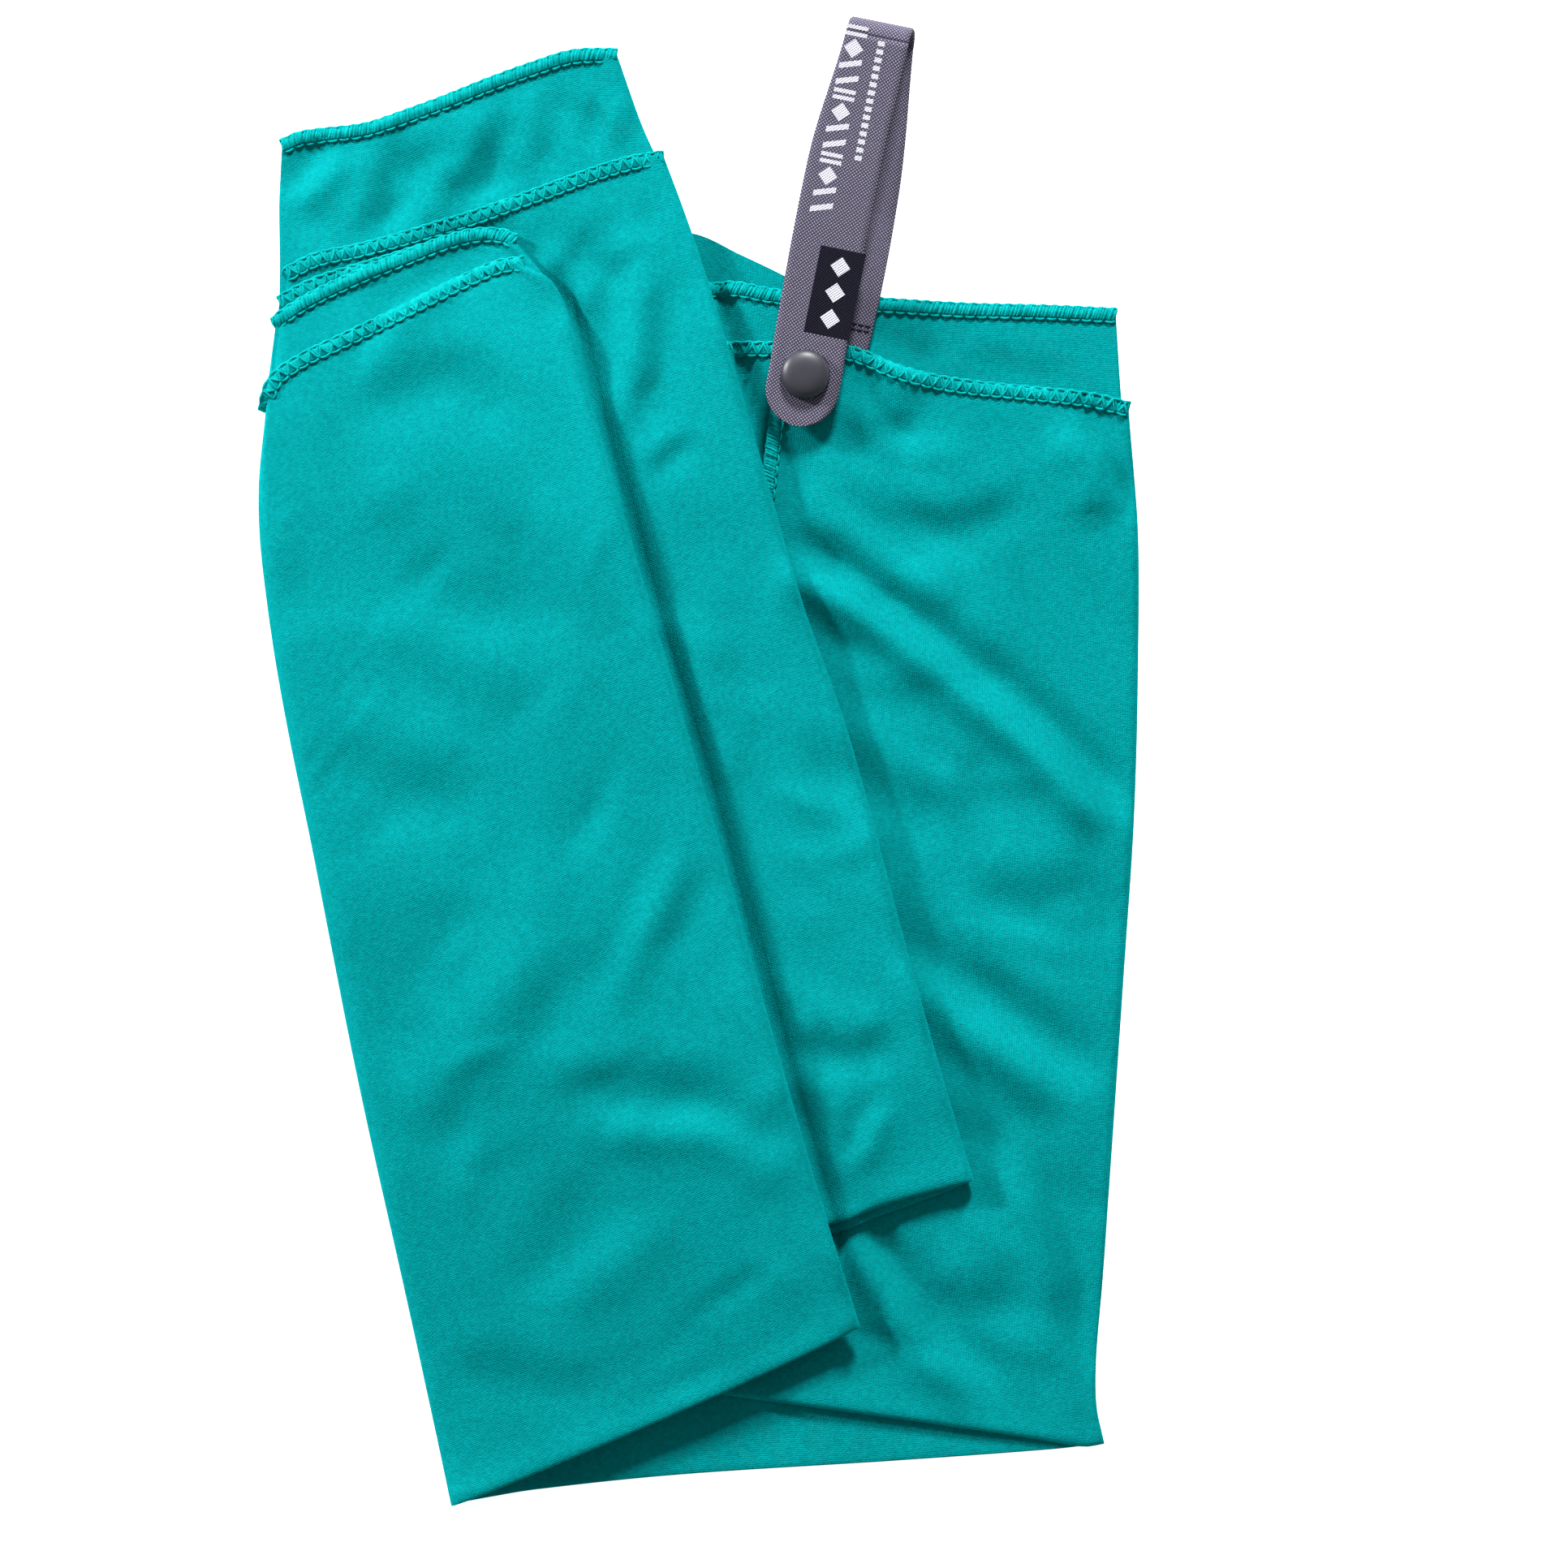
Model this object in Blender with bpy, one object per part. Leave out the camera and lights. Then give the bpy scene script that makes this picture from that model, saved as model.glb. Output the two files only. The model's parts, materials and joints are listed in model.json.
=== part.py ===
"""Quick dry towel: a folded microfibre travel towel with a snap hang loop.

The towel lies folded on a table. It is folded once lengthwise, so that every panel has two
leaves, and then zigzagged across its length. The loop strap is fixed to one corner and closes
on itself with a snap fastener.

Frame: metres, +Z up, +Y towards the hang loop, origin under the middle of the folded towel.
"""
import math

import bmesh
import bpy
from mathutils import Matrix, Vector

MM = 0.001

# Cloth, in millimetres
PANEL = 1.5            # thickness of one folded panel, two leaves
LEAF = PANEL / 2
GAP = 0.3              # clearance between neighbouring pieces
PITCH = PANEL + GAP    # height from one panel to the next
HEM_WIDTH = 3.6        # overlocked edge
HEM_HEIGHT = 1.0

# Heights of the underside of each panel
REAR_Z = 0.0
INNER_Z = REAR_Z + PITCH
INNER_RETURN_Z = INNER_Z + PITCH
MIDDLE_RETURN_Z = INNER_RETURN_Z + PITCH + 0.6
MIDDLE_Z = MIDDLE_RETURN_Z + PITCH
FRONT_RETURN_Z = MIDDLE_Z + PITCH
FRONT_Z = FRONT_RETURN_Z + PITCH
FLAP_AXIS_Z = (FRONT_Z + PANEL + HEM_HEIGHT / 2) / 2

# The right panel's two leaves hold the strap's sewn end between them
RIGHT_BACK_Z = REAR_Z + PITCH
STRAP = 0.7            # thickness of the doubled tape
BACKING = 0.4          # thickness of the snap's backing disc
BACKING_Z = RIGHT_BACK_Z + LEAF + GAP
SEWN_Z = BACKING_Z + BACKING + GAP
RIGHT_FRONT_Z = SEWN_Z + STRAP + GAP

# Hinge line of the left fold, from the bottom to the top of the towel
FOLD_BOTTOM = (-51.0, -170.0)
FOLD_TOP = (-95.0, 60.0)
FOLD_FLATTEN = 0.82    # how far the turn stands out, as a share of a half circle
BASE_Y = -170.7        # the lowest corner of the pile

# Strap and snap
STRAP_WIDTH = 16.7
STRAP_TILT = math.radians(11.4)   # lean of the loop to the right of +Y
SNAP_X = 24.0
SNAP_Y = 87.9
TIP_RADIUS = STRAP_WIDTH / 2
LOOP_REACH = 78.5      # snap centre to the centre of the top bend
BEND_RADIUS = 4.3      # outside of the top bend
BACK_LEG_Z = 0.3       # the back leg lies on the table past the towel
BACK_LEG_BOW = 4.0     # how far the back leg stands out to the right of the front leg
BEND_Z = BACK_LEG_Z + BEND_RADIUS
TAB_Z = BACK_LEG_Z + 2 * BEND_RADIUS - STRAP
FLANGE_RADIUS = 4.7
FLANGE = 0.5
POST_RADIUS = 1.75
SOCKET_RADIUS = 5.0
SOCKET_BORE = 2.15
SOCKET = 1.3
CAP_RADIUS = 5.65
CAP_HEIGHT = 2.3
ROUND_STEPS = 32

# Outer edges of the visible folds and hems, from the front of the pile to the back
FRONT_RIGHT = [(-40.0, 113.5), (-25.5, 81.0), (-13.0, 43.0), (1.5, -8.0), (25.5, -93.0), (36.5, -129.0)]
FRONT_BOTTOM = [(7.0, -143.5), (-21.0, -155.5), (-48.5, -167.0)]
FRONT_HEM_FRONT = [(-99.0, 79.5), (-96.5, 86.5), (-82.0, 95.0), (-67.0, 102.5), (-48.5, 111.5), (-40.0, 113.5)]
FRONT_HEM_BACK = [(-97.0, 99.5), (-89.5, 104.5), (-76.5, 110.5), (-58.0, 118.0), (-48.5, 120.0), (-42.0, 118.5)]
RETURN_HEM = [(-95.8, 104.3), (-86.5, 109.0), (-60.0, 117.0), (-46.0, 118.5)]
MIDDLE_RIGHT = [(-8.2, 137.5), (3.2, 109.0), (18.0, 62.5), (33.0, 7.0), (47.7, -45.0), (62.5, -95.8)]
MIDDLE_BOTTOM = [(44.0, -100.5), (31.0, -105.5), (-18.0, -121.0), (-57.0, -134.0)]
MIDDLE_HEM_FRONT = [(-94.5, 111.0), (-85.6, 116.2), (-48.6, 124.5), (-8.2, 138.4)]
MIDDLE_HEM_BACK = [(-95.8, 140.6), (-76.0, 144.0), (-46.0, 155.0), (-19.0, 162.0)]
RIGHT_FOLD = [(98.2, 80.2), (100.3, 53.0), (99.5, -11.6), (93.2, -104.0), (90.8, -137.5), (92.7, -156.6)]
RIGHT_HEM_FRONT = [(19.8, 94.0), (33.0, 92.7), (44.0, 87.5), (62.5, 83.4), (98.2, 80.2)]
RIGHT_HEM_BACK = [(20.5, 105.8), (39.7, 104.5), (95.3, 101.9)]
END_EDGE = [(19.8, 94.0), (17.5, 78.0), (14.5, 50.0), (-11.0, -142.8)]
INNER_HEM_FRONT = [(-86.0, 99.0), (6.8, 94.4), (15.2, 94.1)]
INNER_HEM_BACK = [(-86.0, 113.0), (1.8, 107.9), (15.5, 106.2)]
INNER_RIGHT = [(15.5, 94.1), (13.0, 78.0), (10.0, 50.0), (-15.0, -138.5)]
REAR_TOP = [(95.0, 98.5), (36.0, 100.5), (20.5, 110.5), (-2.3, 120.5), (-60.0, 110.0), (-96.8, 99.0)]

CLOTH_COLOUR = (0.006, 0.39, 0.36, 1.0)
THREAD_COLOUR = (0.01, 0.43, 0.39, 1.0)
STRAP_COLOUR = (0.14, 0.125, 0.15, 1.0)
SNAP_COLOUR = (0.06, 0.06, 0.068, 1.0)
TACK_COLOUR = (0.11, 0.1, 0.12, 1.0)


def clear_scene():
    for old in list(bpy.data.objects):
        bpy.data.objects.remove(old, do_unlink=True)


def material(name, colour, roughness, metallic=0.0):
    made = bpy.data.materials.new(name)
    made.use_nodes = True
    shader = made.node_tree.nodes["Principled BSDF"]
    shader.inputs["Base Color"].default_value = colour
    shader.inputs["Roughness"].default_value = roughness
    shader.inputs["Metallic"].default_value = metallic
    made.diffuse_color = colour
    return made


def add_object(name, mesh_builder, parent=None):
    """Link a new object; its mesh is given in world millimetres and stored about its parent."""
    mesh = bpy.data.meshes.new(name)
    origin = parent.location if parent else Vector((0.0, 0.0, 0.0))
    turn = Matrix.Translation(-origin) @ Matrix.Scale(MM, 4)
    mesh_builder.transform(turn)
    bmesh.ops.recalc_face_normals(mesh_builder, faces=mesh_builder.faces)
    mesh_builder.to_mesh(mesh)
    mesh_builder.free()
    made = bpy.data.objects.new(name, mesh)
    bpy.context.scene.collection.objects.link(made)
    if parent:
        made.parent = parent
    return made


def pivot(name, place):
    """An empty on a joint's axis, for the pieces that swing about it."""
    made = bpy.data.objects.new(name, None)
    made.location = [value * MM for value in place]
    bpy.context.scene.collection.objects.link(made)
    return made


def fold_x(y, inset=0.0):
    """Where the left fold's hinge line passes, moved inwards by inset."""
    run = FOLD_TOP[1] - FOLD_BOTTOM[1]
    slope = (FOLD_TOP[0] - FOLD_BOTTOM[0]) / run
    return FOLD_BOTTOM[0] + slope * (y - FOLD_BOTTOM[1]) + inset


def fold_side(bottom, top, inset):
    """Points up the left side of a panel, just inside the hinge line."""
    return [(fold_x(y, inset), y) for y in (bottom, (bottom + top) / 2, top)]


def signed_area(outline):
    pairs = zip(outline, outline[1:] + outline[:1])
    return sum(a[0] * b[1] - b[0] * a[1] for a, b in pairs) / 2


def prism(outline, low, high):
    """A flat slab over an outline, as a bmesh."""
    made = bmesh.new()
    points = outline if signed_area(outline) > 0 else outline[::-1]
    floor = [made.verts.new((x, y, low)) for x, y in points]
    roof = [made.verts.new((x, y, high)) for x, y in points]
    made.faces.new(floor[::-1])
    made.faces.new(roof)
    for index in range(len(points)):
        after = (index + 1) % len(points)
        made.faces.new((floor[index], floor[after], roof[after], roof[index]))
    return made


def stepped(shared, front_edge, back_edge, low):
    """A panel of two leaves that part at the top, the back leaf reaching further.

    shared runs round the folds from the front edge's right end to its left end. front_edge
    and back_edge run from left to right without those two ends.
    """
    middle = low + LEAF
    high = low + PANEL
    made = bmesh.new()
    back_points = shared + back_edge
    front_points = shared + front_edge
    floor = [made.verts.new((x, y, low)) for x, y in back_points]
    step = [made.verts.new((x, y, middle)) for x, y in back_points]
    lip = [made.verts.new((x, y, middle)) for x, y in front_edge]
    roof = [made.verts.new((x, y, high)) for x, y in front_points]
    count = len(back_points)
    for index in range(count):
        after = (index + 1) % count
        made.faces.new((floor[index], floor[after], step[after], step[index]))
    lower_ring = step[:len(shared)] + lip
    count = len(front_points)
    for index in range(count):
        after = (index + 1) % count
        made.faces.new((lower_ring[index], lower_ring[after], roof[after], roof[index]))
    made.faces.new(floor)
    made.faces.new(roof)
    made.faces.new(step[len(shared) - 1:] + [step[0]] + lip[::-1])
    return made


def edge_normals(edge):
    """Unit directions to the left of an open line, at each of its points."""
    normals = []
    for index in range(len(edge)):
        before = Vector(edge[max(index - 1, 0)])
        after = Vector(edge[min(index + 1, len(edge) - 1)])
        along = (after - before).normalized()
        normals.append(Vector((-along.y, along.x)))
    return normals


def inwards(edge, distance):
    """The line moved to its right, which is into the cloth for a hem drawn left to right."""
    moved = []
    for point, normal in zip(edge, edge_normals(edge)):
        place = Vector(point) - normal * distance
        moved.append((place.x, place.y))
    return moved


def hem(name, edge, low, slot, height=HEM_HEIGHT, parent=None):
    """An overlocked edge as a flat bar along the outside of a leaf."""
    inner = inwards(edge, HEM_WIDTH)
    made = add_object(name, prism(edge + inner[::-1], low, low + height), parent)
    made.data.materials.append(slot)


def leaf_edge(edge):
    """Where the cloth stops, just inside its hem."""
    return inwards(edge, HEM_WIDTH + GAP)


def build_root_cloth(cloth, thread):
    """The two panels that stay on the table: the rear one and the right one over it."""
    left = fold_side(BASE_Y, 60.0, 0.5)
    bottom = [(-42.0, -168.5), (-5.5, -163.5), (44.0, -160.3)]
    rear_top = leaf_edge(REAR_TOP[::-1])[::-1]
    outline = left + rear_top[::-1] + RIGHT_FOLD + bottom[::-1]
    rear = add_object("rear_panel", prism(outline, REAR_Z, REAR_Z + PANEL))
    rear.data.materials.append(cloth)
    hem("rear_hem", REAR_TOP[::-1], REAR_Z + 0.3, thread)
    end_inner = leaf_edge(END_EDGE[::-1])[::-1]
    bottom_edge = [(3.0, -145.0)]
    back_top = leaf_edge(RIGHT_HEM_BACK)
    front_top = leaf_edge(RIGHT_HEM_FRONT)
    start = (end_inner[0][0], front_top[0][1] - 2 * GAP)
    back_side = [(back_top[0][0] + 3.5, back_top[0][1])] + back_top[1:]
    outline = back_side + RIGHT_FOLD + bottom_edge + end_inner[:0:-1] + [start]
    back = add_object("right_panel_back", prism(outline, RIGHT_BACK_Z, RIGHT_BACK_Z + LEAF))
    back.data.materials.append(cloth)
    outline = [start] + front_top[1:] + RIGHT_FOLD[1:] + bottom_edge + end_inner[:0:-1]
    front = add_object("right_panel_front", prism(outline, RIGHT_FRONT_Z, RIGHT_FRONT_Z + LEAF))
    front.data.materials.append(cloth)
    hem("right_hem_back", RIGHT_HEM_BACK, RIGHT_BACK_Z, thread, LEAF + 0.2)
    hem("right_hem_front", RIGHT_HEM_FRONT, RIGHT_FRONT_Z, thread, LEAF + 0.2)
    end_line = [(17.9, 89.5)] + END_EDGE[1:]
    hem("end_hem", end_line[::-1], RIGHT_FRONT_Z, thread, LEAF + 0.2)


def build_flap_cloth(cloth, thread, parent):
    """The pile of panels that opens as one leaf about the left fold."""
    side = fold_side(BASE_Y, 60.0, 0.5)
    shared = FRONT_RIGHT[1:] + FRONT_BOTTOM + side
    front_leaf = leaf_edge(FRONT_HEM_FRONT)
    back_leaf = leaf_edge(FRONT_HEM_BACK)
    corner = (-96.5, 72.0)
    right_end = (front_leaf[-1][0] + 1.0, front_leaf[-1][1])
    shared = [right_end] + shared + [corner]
    front = add_object("front_panel", stepped(shared, front_leaf[1:-1], back_leaf, FRONT_Z), parent)
    front.data.materials.append(cloth)
    hem("front_hem_front", FRONT_HEM_FRONT, FRONT_Z + LEAF + GAP, thread, parent=parent)
    hem("front_hem_back", FRONT_HEM_BACK, FRONT_Z, thread, parent=parent)

    bottom = [(6.0, -140.0), (-22.0, -152.0), (-49.5, -163.5)]
    left = fold_side(-160.0, 60.0, 1.5)
    top = leaf_edge(RETURN_HEM)
    outline = [(-42.0, 112.0)] + FRONT_RIGHT[1:] + bottom + left + [(-94.5, 90.0)] + top
    panel = prism(outline, FRONT_RETURN_Z, FRONT_RETURN_Z + PANEL)
    made = add_object("front_return_panel", panel, parent)
    made.data.materials.append(cloth)
    hem("return_hem", RETURN_HEM, FRONT_RETURN_Z, thread, parent=parent)

    left = fold_side(-134.0, 60.0, 2.0)
    front_leaf = leaf_edge(MIDDLE_HEM_FRONT)
    back_leaf = leaf_edge(MIDDLE_HEM_BACK)
    right_end = (front_leaf[-1][0] + 1.5, front_leaf[-1][1] - 1.0)
    shared = [right_end] + MIDDLE_RIGHT[1:] + MIDDLE_BOTTOM[:-1] + left + [(-94.0, 100.0)]
    panel = stepped(shared, front_leaf[1:-1], back_leaf, MIDDLE_Z)
    made = add_object("middle_panel", panel, parent)
    made.data.materials.append(cloth)
    hem("middle_hem_front", MIDDLE_HEM_FRONT, MIDDLE_Z + LEAF + GAP, thread, parent=parent)
    hem("middle_hem_back", MIDDLE_HEM_BACK, MIDDLE_Z, thread, parent=parent)

    bottom = [(61.5, -97.5), (44.0, -102.5), (31.0, -107.0), (-18.0, -122.5)]
    left = fold_side(-132.0, 60.0, 3.0)
    outline = [(-12.0, 134.0)] + MIDDLE_RIGHT[1:-1] + bottom + left + [(-92.0, 132.0)]
    panel = prism(outline, MIDDLE_RETURN_Z, MIDDLE_RETURN_Z + PANEL)
    made = add_object("middle_return_panel", panel, parent)
    made.data.materials.append(cloth)

    left = fold_side(-134.0, 60.0, 6.0)
    front_leaf = leaf_edge(INNER_HEM_FRONT)
    back_leaf = leaf_edge(INNER_HEM_BACK)
    right_end = (INNER_RIGHT[0][0], front_leaf[-1][1])
    shared = [right_end] + INNER_RIGHT[1:] + left + [front_leaf[0]]
    panel = stepped(shared, front_leaf[1:-1], back_leaf, INNER_RETURN_Z)
    made = add_object("inner_return_panel", panel, parent)
    made.data.materials.append(cloth)
    hem("inner_hem_front", INNER_HEM_FRONT, INNER_RETURN_Z + LEAF + GAP, thread, parent=parent)
    hem("inner_hem_back", INNER_HEM_BACK, INNER_RETURN_Z, thread, parent=parent)
    top = [(-84.0, 104.0), (2.0, 115.0)]
    outline = INNER_RIGHT + left + top
    made = add_object("inner_panel", prism(outline, INNER_Z, INNER_Z + PANEL), parent)
    made.data.materials.append(cloth)


def build_left_fold(cloth):
    """The turn of cloth that joins the rear panel to the front panel, round the pile's left side."""
    made = bmesh.new()
    radius = (FRONT_Z + PANEL) / 2
    centre = radius
    steps = 8
    sections = []
    for y in (BASE_Y, FOLD_TOP[1]):
        ring = []
        for reach in (radius, radius - PANEL):
            angles = [math.pi / 2 + math.pi * step / steps for step in range(steps + 1)]
            if reach != radius:
                angles.reverse()
            for angle in angles:
                x = fold_x(y) + reach * math.cos(angle) * FOLD_FLATTEN
                z = centre + reach * math.sin(angle)
                ring.append(made.verts.new((x, y, z)))
        sections.append(ring)
    for lower, upper in zip(sections, sections[1:]):
        count = len(lower)
        for index in range(count):
            after = (index + 1) % count
            made.faces.new((lower[index], lower[after], upper[after], upper[index]))
    for ring in (sections[0], sections[-1]):
        for index in range(steps):
            mate = 2 * steps + 1 - index
            made.faces.new((ring[index], ring[index + 1], ring[mate - 1], ring[mate]))
    fold = add_object("left_fold", made)
    fold.data.materials.append(cloth)


def strap_frame():
    """World place of a point given along the strap, across it and up."""
    turn = Matrix.Rotation(-STRAP_TILT, 4, "Z")
    return Matrix.Translation((SNAP_X, SNAP_Y, 0.0)) @ turn


def ribbon(path, width):
    """A tape of rectangular section along (across, along, up) points, as a bmesh."""
    made = bmesh.new()
    rings = []
    for index, (across, along, up) in enumerate(path):
        before = path[max(index - 1, 0)]
        after = path[min(index + 1, len(path) - 1)]
        run = Vector((after[1] - before[1], after[2] - before[2])).normalized()
        normal = Vector((0.0, -run.y, run.x))
        base = Vector((across, along, up))
        half = Vector((width / 2, 0.0, 0.0))
        lift = normal * (STRAP / 2)
        corners = (base - half - lift, base + half - lift, base + half + lift, base - half + lift)
        rings.append([made.verts.new(corner) for corner in corners])
    for first, second in zip(rings, rings[1:]):
        for index in range(4):
            after = (index + 1) % 4
            made.faces.new((first[index], first[after], second[after], second[index]))
    made.faces.new(rings[0][::-1])
    made.faces.new(rings[-1])
    return made


def back_leg_path():
    """Centre line of the back leg, from its sewn end to the foot of the top bend."""
    half = STRAP / 2
    sewn = SEWN_Z + half
    table = BACK_LEG_Z + half
    heights = [(-3.0, sewn), (21.5, sewn), (28.0, sewn - 0.9), (36.0, table + 0.7), (43.0, table)]
    heights += [(55.0, table), (67.0, table), (LOOP_REACH, table)]
    path = []
    for along, up in heights:
        share = max(along, 0.0) / LOOP_REACH
        across = BACK_LEG_BOW * math.cos(share * math.pi / 2) ** 0.5 if share < 1.0 else 0.0
        path.append((across, along, up))
    return path


def build_loop(strap, tack, tab):
    """The hang loop: a sewn back leg, the bend at its top and the front leg that opens."""
    place = strap_frame()
    back = ribbon(back_leg_path(), STRAP_WIDTH)
    back.transform(place)
    add_object("loop_back_leg", back).data.materials.append(strap)

    middle = BEND_RADIUS - STRAP / 2
    start = GAP / middle
    steps = 10
    arc = []
    for step in range(steps + 1):
        angle = -math.pi / 2 + start + (math.pi - 2 * start) * step / steps
        arc.append((0.0, LOOP_REACH + middle * math.cos(angle), BEND_Z + middle * math.sin(angle)))
    bend = ribbon(arc, STRAP_WIDTH)
    bend.transform(place)
    add_object("loop_bend", bend).data.materials.append(strap)

    outline = [(TIP_RADIUS, LOOP_REACH), (-TIP_RADIUS, LOOP_REACH)]
    tip_steps = 12
    for step in range(tip_steps + 1):
        angle = math.pi + math.pi * step / tip_steps
        outline.append((TIP_RADIUS * math.cos(angle), -3.0 + TIP_RADIUS * math.sin(angle)))
    leg = prism(outline, TAB_Z, TAB_Z + STRAP)
    leg.transform(place)
    add_object("loop_front_leg", leg, tab).data.materials.append(strap)

    bar = prism([(-3.5, 12.5), (11.5, 12.5), (11.5, 14.5), (-3.5, 14.5)], SEWN_Z + STRAP + GAP, SEWN_Z + STRAP + 0.8)
    bar.transform(place)
    add_object("loop_bar_tack", bar).data.materials.append(tack)


def turned(profile):
    """A closed solid turned about the vertical from (radius, height) points on the axis."""
    made = bmesh.new()
    rings = []
    for radius, height in profile:
        if radius == 0.0:
            rings.append([made.verts.new((0.0, 0.0, height))])
            continue
        ring = []
        for step in range(ROUND_STEPS):
            angle = 2 * math.pi * step / ROUND_STEPS
            ring.append(made.verts.new((radius * math.cos(angle), radius * math.sin(angle), height)))
        rings.append(ring)
    pairs = list(zip(rings, rings[1:]))
    if len(rings[0]) > 1:
        pairs.append((rings[-1], rings[0]))
    for lower, upper in pairs:
        for step in range(ROUND_STEPS):
            after = (step + 1) % ROUND_STEPS
            corners = [lower[step % len(lower)], lower[after % len(lower)]]
            corners += [upper[after % len(upper)], upper[step % len(upper)]]
            made.faces.new(list(dict.fromkeys(corners)))
    return made


def turned_object(name, profile, slot, parent=None):
    body = turned(profile)
    body.transform(Matrix.Translation((SNAP_X, SNAP_Y, 0.0)))
    made = add_object(name, body, parent)
    made.data.materials.append(slot)
    made.data.shade_smooth()
    made.data.set_sharp_from_angle(angle=math.radians(35.0))


def build_snap(snap, tab):
    """The press fastener: stud and backing on the towel's corner, socket and cap on the tab."""
    base = RIGHT_FRONT_Z + LEAF + GAP
    post_top = base + 2.0
    profile = [(0.0, base), (FLANGE_RADIUS, base), (FLANGE_RADIUS, base + FLANGE)]
    profile += [(POST_RADIUS, base + FLANGE), (POST_RADIUS, post_top - 0.3), (POST_RADIUS - 0.4, post_top)]
    profile += [(0.0, post_top)]
    turned_object("snap_stud", profile, snap)
    profile = [(0.0, BACKING_Z), (FLANGE_RADIUS, BACKING_Z), (FLANGE_RADIUS, BACKING_Z + BACKING)]
    profile += [(0.0, BACKING_Z + BACKING)]
    turned_object("snap_backing", profile, snap)
    socket_low = TAB_Z - GAP - SOCKET
    profile = [(SOCKET_BORE, socket_low), (SOCKET_RADIUS, socket_low), (SOCKET_RADIUS, TAB_Z - GAP)]
    profile += [(SOCKET_BORE, TAB_Z - GAP)]
    turned_object("snap_socket", profile, snap, tab)
    cap_low = TAB_Z + STRAP + GAP
    profile = [(0.0, cap_low), (CAP_RADIUS - 0.3, cap_low), (CAP_RADIUS, cap_low + 0.35)]
    dome_steps = 6
    for step in range(1, dome_steps):
        angle = math.pi / 2 * step / dome_steps
        rise = (CAP_HEIGHT - 0.35) * math.sin(angle)
        profile.append((CAP_RADIUS * math.cos(angle) ** 0.8, cap_low + 0.35 + rise))
    profile.append((0.0, cap_low + CAP_HEIGHT))
    turned_object("snap_cap", profile, snap, tab)


def main():
    clear_scene()
    cloth = material("towel_cloth", CLOTH_COLOUR, 0.9)
    thread = material("hem_thread", THREAD_COLOUR, 0.8)
    strap = material("strap_tape", STRAP_COLOUR, 0.85)
    tack = material("strap_thread", TACK_COLOUR, 0.8)
    snap = material("snap_plastic", SNAP_COLOUR, 0.45)
    flap = pivot("flap_pivot", (FOLD_BOTTOM[0], FOLD_BOTTOM[1], FLAP_AXIS_Z))
    bend_centre = strap_frame() @ Vector((0.0, LOOP_REACH, BEND_Z))
    tab = pivot("tab_pivot", bend_centre)
    build_root_cloth(cloth, thread)
    build_flap_cloth(cloth, thread, flap)
    build_left_fold(cloth)
    build_loop(strap, tack, tab)
    build_snap(snap, tab)


main()
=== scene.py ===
"""Looks of the quick dry towel: cloth, overlocked edges, strap, snap, light and camera.

Lengths are in millimetres while shapes are worked out, and become metres when a mesh is made.
"""

import json
import math

import bpy
import numpy as np
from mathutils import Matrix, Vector


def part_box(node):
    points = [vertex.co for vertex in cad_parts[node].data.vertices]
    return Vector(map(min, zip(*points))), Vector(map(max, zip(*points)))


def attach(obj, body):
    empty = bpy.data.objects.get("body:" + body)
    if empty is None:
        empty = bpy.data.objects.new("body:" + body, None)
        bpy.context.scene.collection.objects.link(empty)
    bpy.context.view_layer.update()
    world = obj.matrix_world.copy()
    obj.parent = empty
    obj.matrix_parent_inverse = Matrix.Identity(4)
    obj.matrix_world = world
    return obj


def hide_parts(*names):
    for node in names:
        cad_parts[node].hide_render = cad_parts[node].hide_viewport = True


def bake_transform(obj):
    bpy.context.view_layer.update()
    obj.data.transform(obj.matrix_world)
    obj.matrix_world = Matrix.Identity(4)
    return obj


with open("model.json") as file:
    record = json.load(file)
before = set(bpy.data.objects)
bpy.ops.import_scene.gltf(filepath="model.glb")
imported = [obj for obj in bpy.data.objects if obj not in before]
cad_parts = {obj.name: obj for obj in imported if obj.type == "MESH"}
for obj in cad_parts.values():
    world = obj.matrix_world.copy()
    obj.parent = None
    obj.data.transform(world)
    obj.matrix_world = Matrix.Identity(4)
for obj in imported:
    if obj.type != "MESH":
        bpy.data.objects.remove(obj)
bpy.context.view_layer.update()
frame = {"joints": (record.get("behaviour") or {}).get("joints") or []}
MM = 0.001


# ---------------------------------------------------------------- places taken from the frame

def node_box(name):
    """Lowest and highest corner of a CAD node, in millimetres."""
    low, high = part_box(name)
    return np.array(low) / MM, np.array(high) / MM


def level(node, share):
    """Height of a leaf inside a CAD panel, as a share of the panel's thickness."""
    low, high = node_box(node)
    return float(low[2] + share * (high[2] - low[2]))


def joint(name):
    return next(j for j in frame["joints"] if j["name"] == name)


FLAP = ("front", "front_return", "middle", "middle_return", "inner_return", "inner")    # from top to bottom
FACING_UP = ("right", "front", "middle", "inner_return")    # panels whose front leaf lies on their back leaf


def leaf_levels(panel):
    """Heights of a folded panel's two leaves."""
    front = 0.75 if panel in FACING_UP else 0.25
    return {"front": level(panel + "_panel", front), "back": level(panel + "_panel", 1 - front)}


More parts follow.
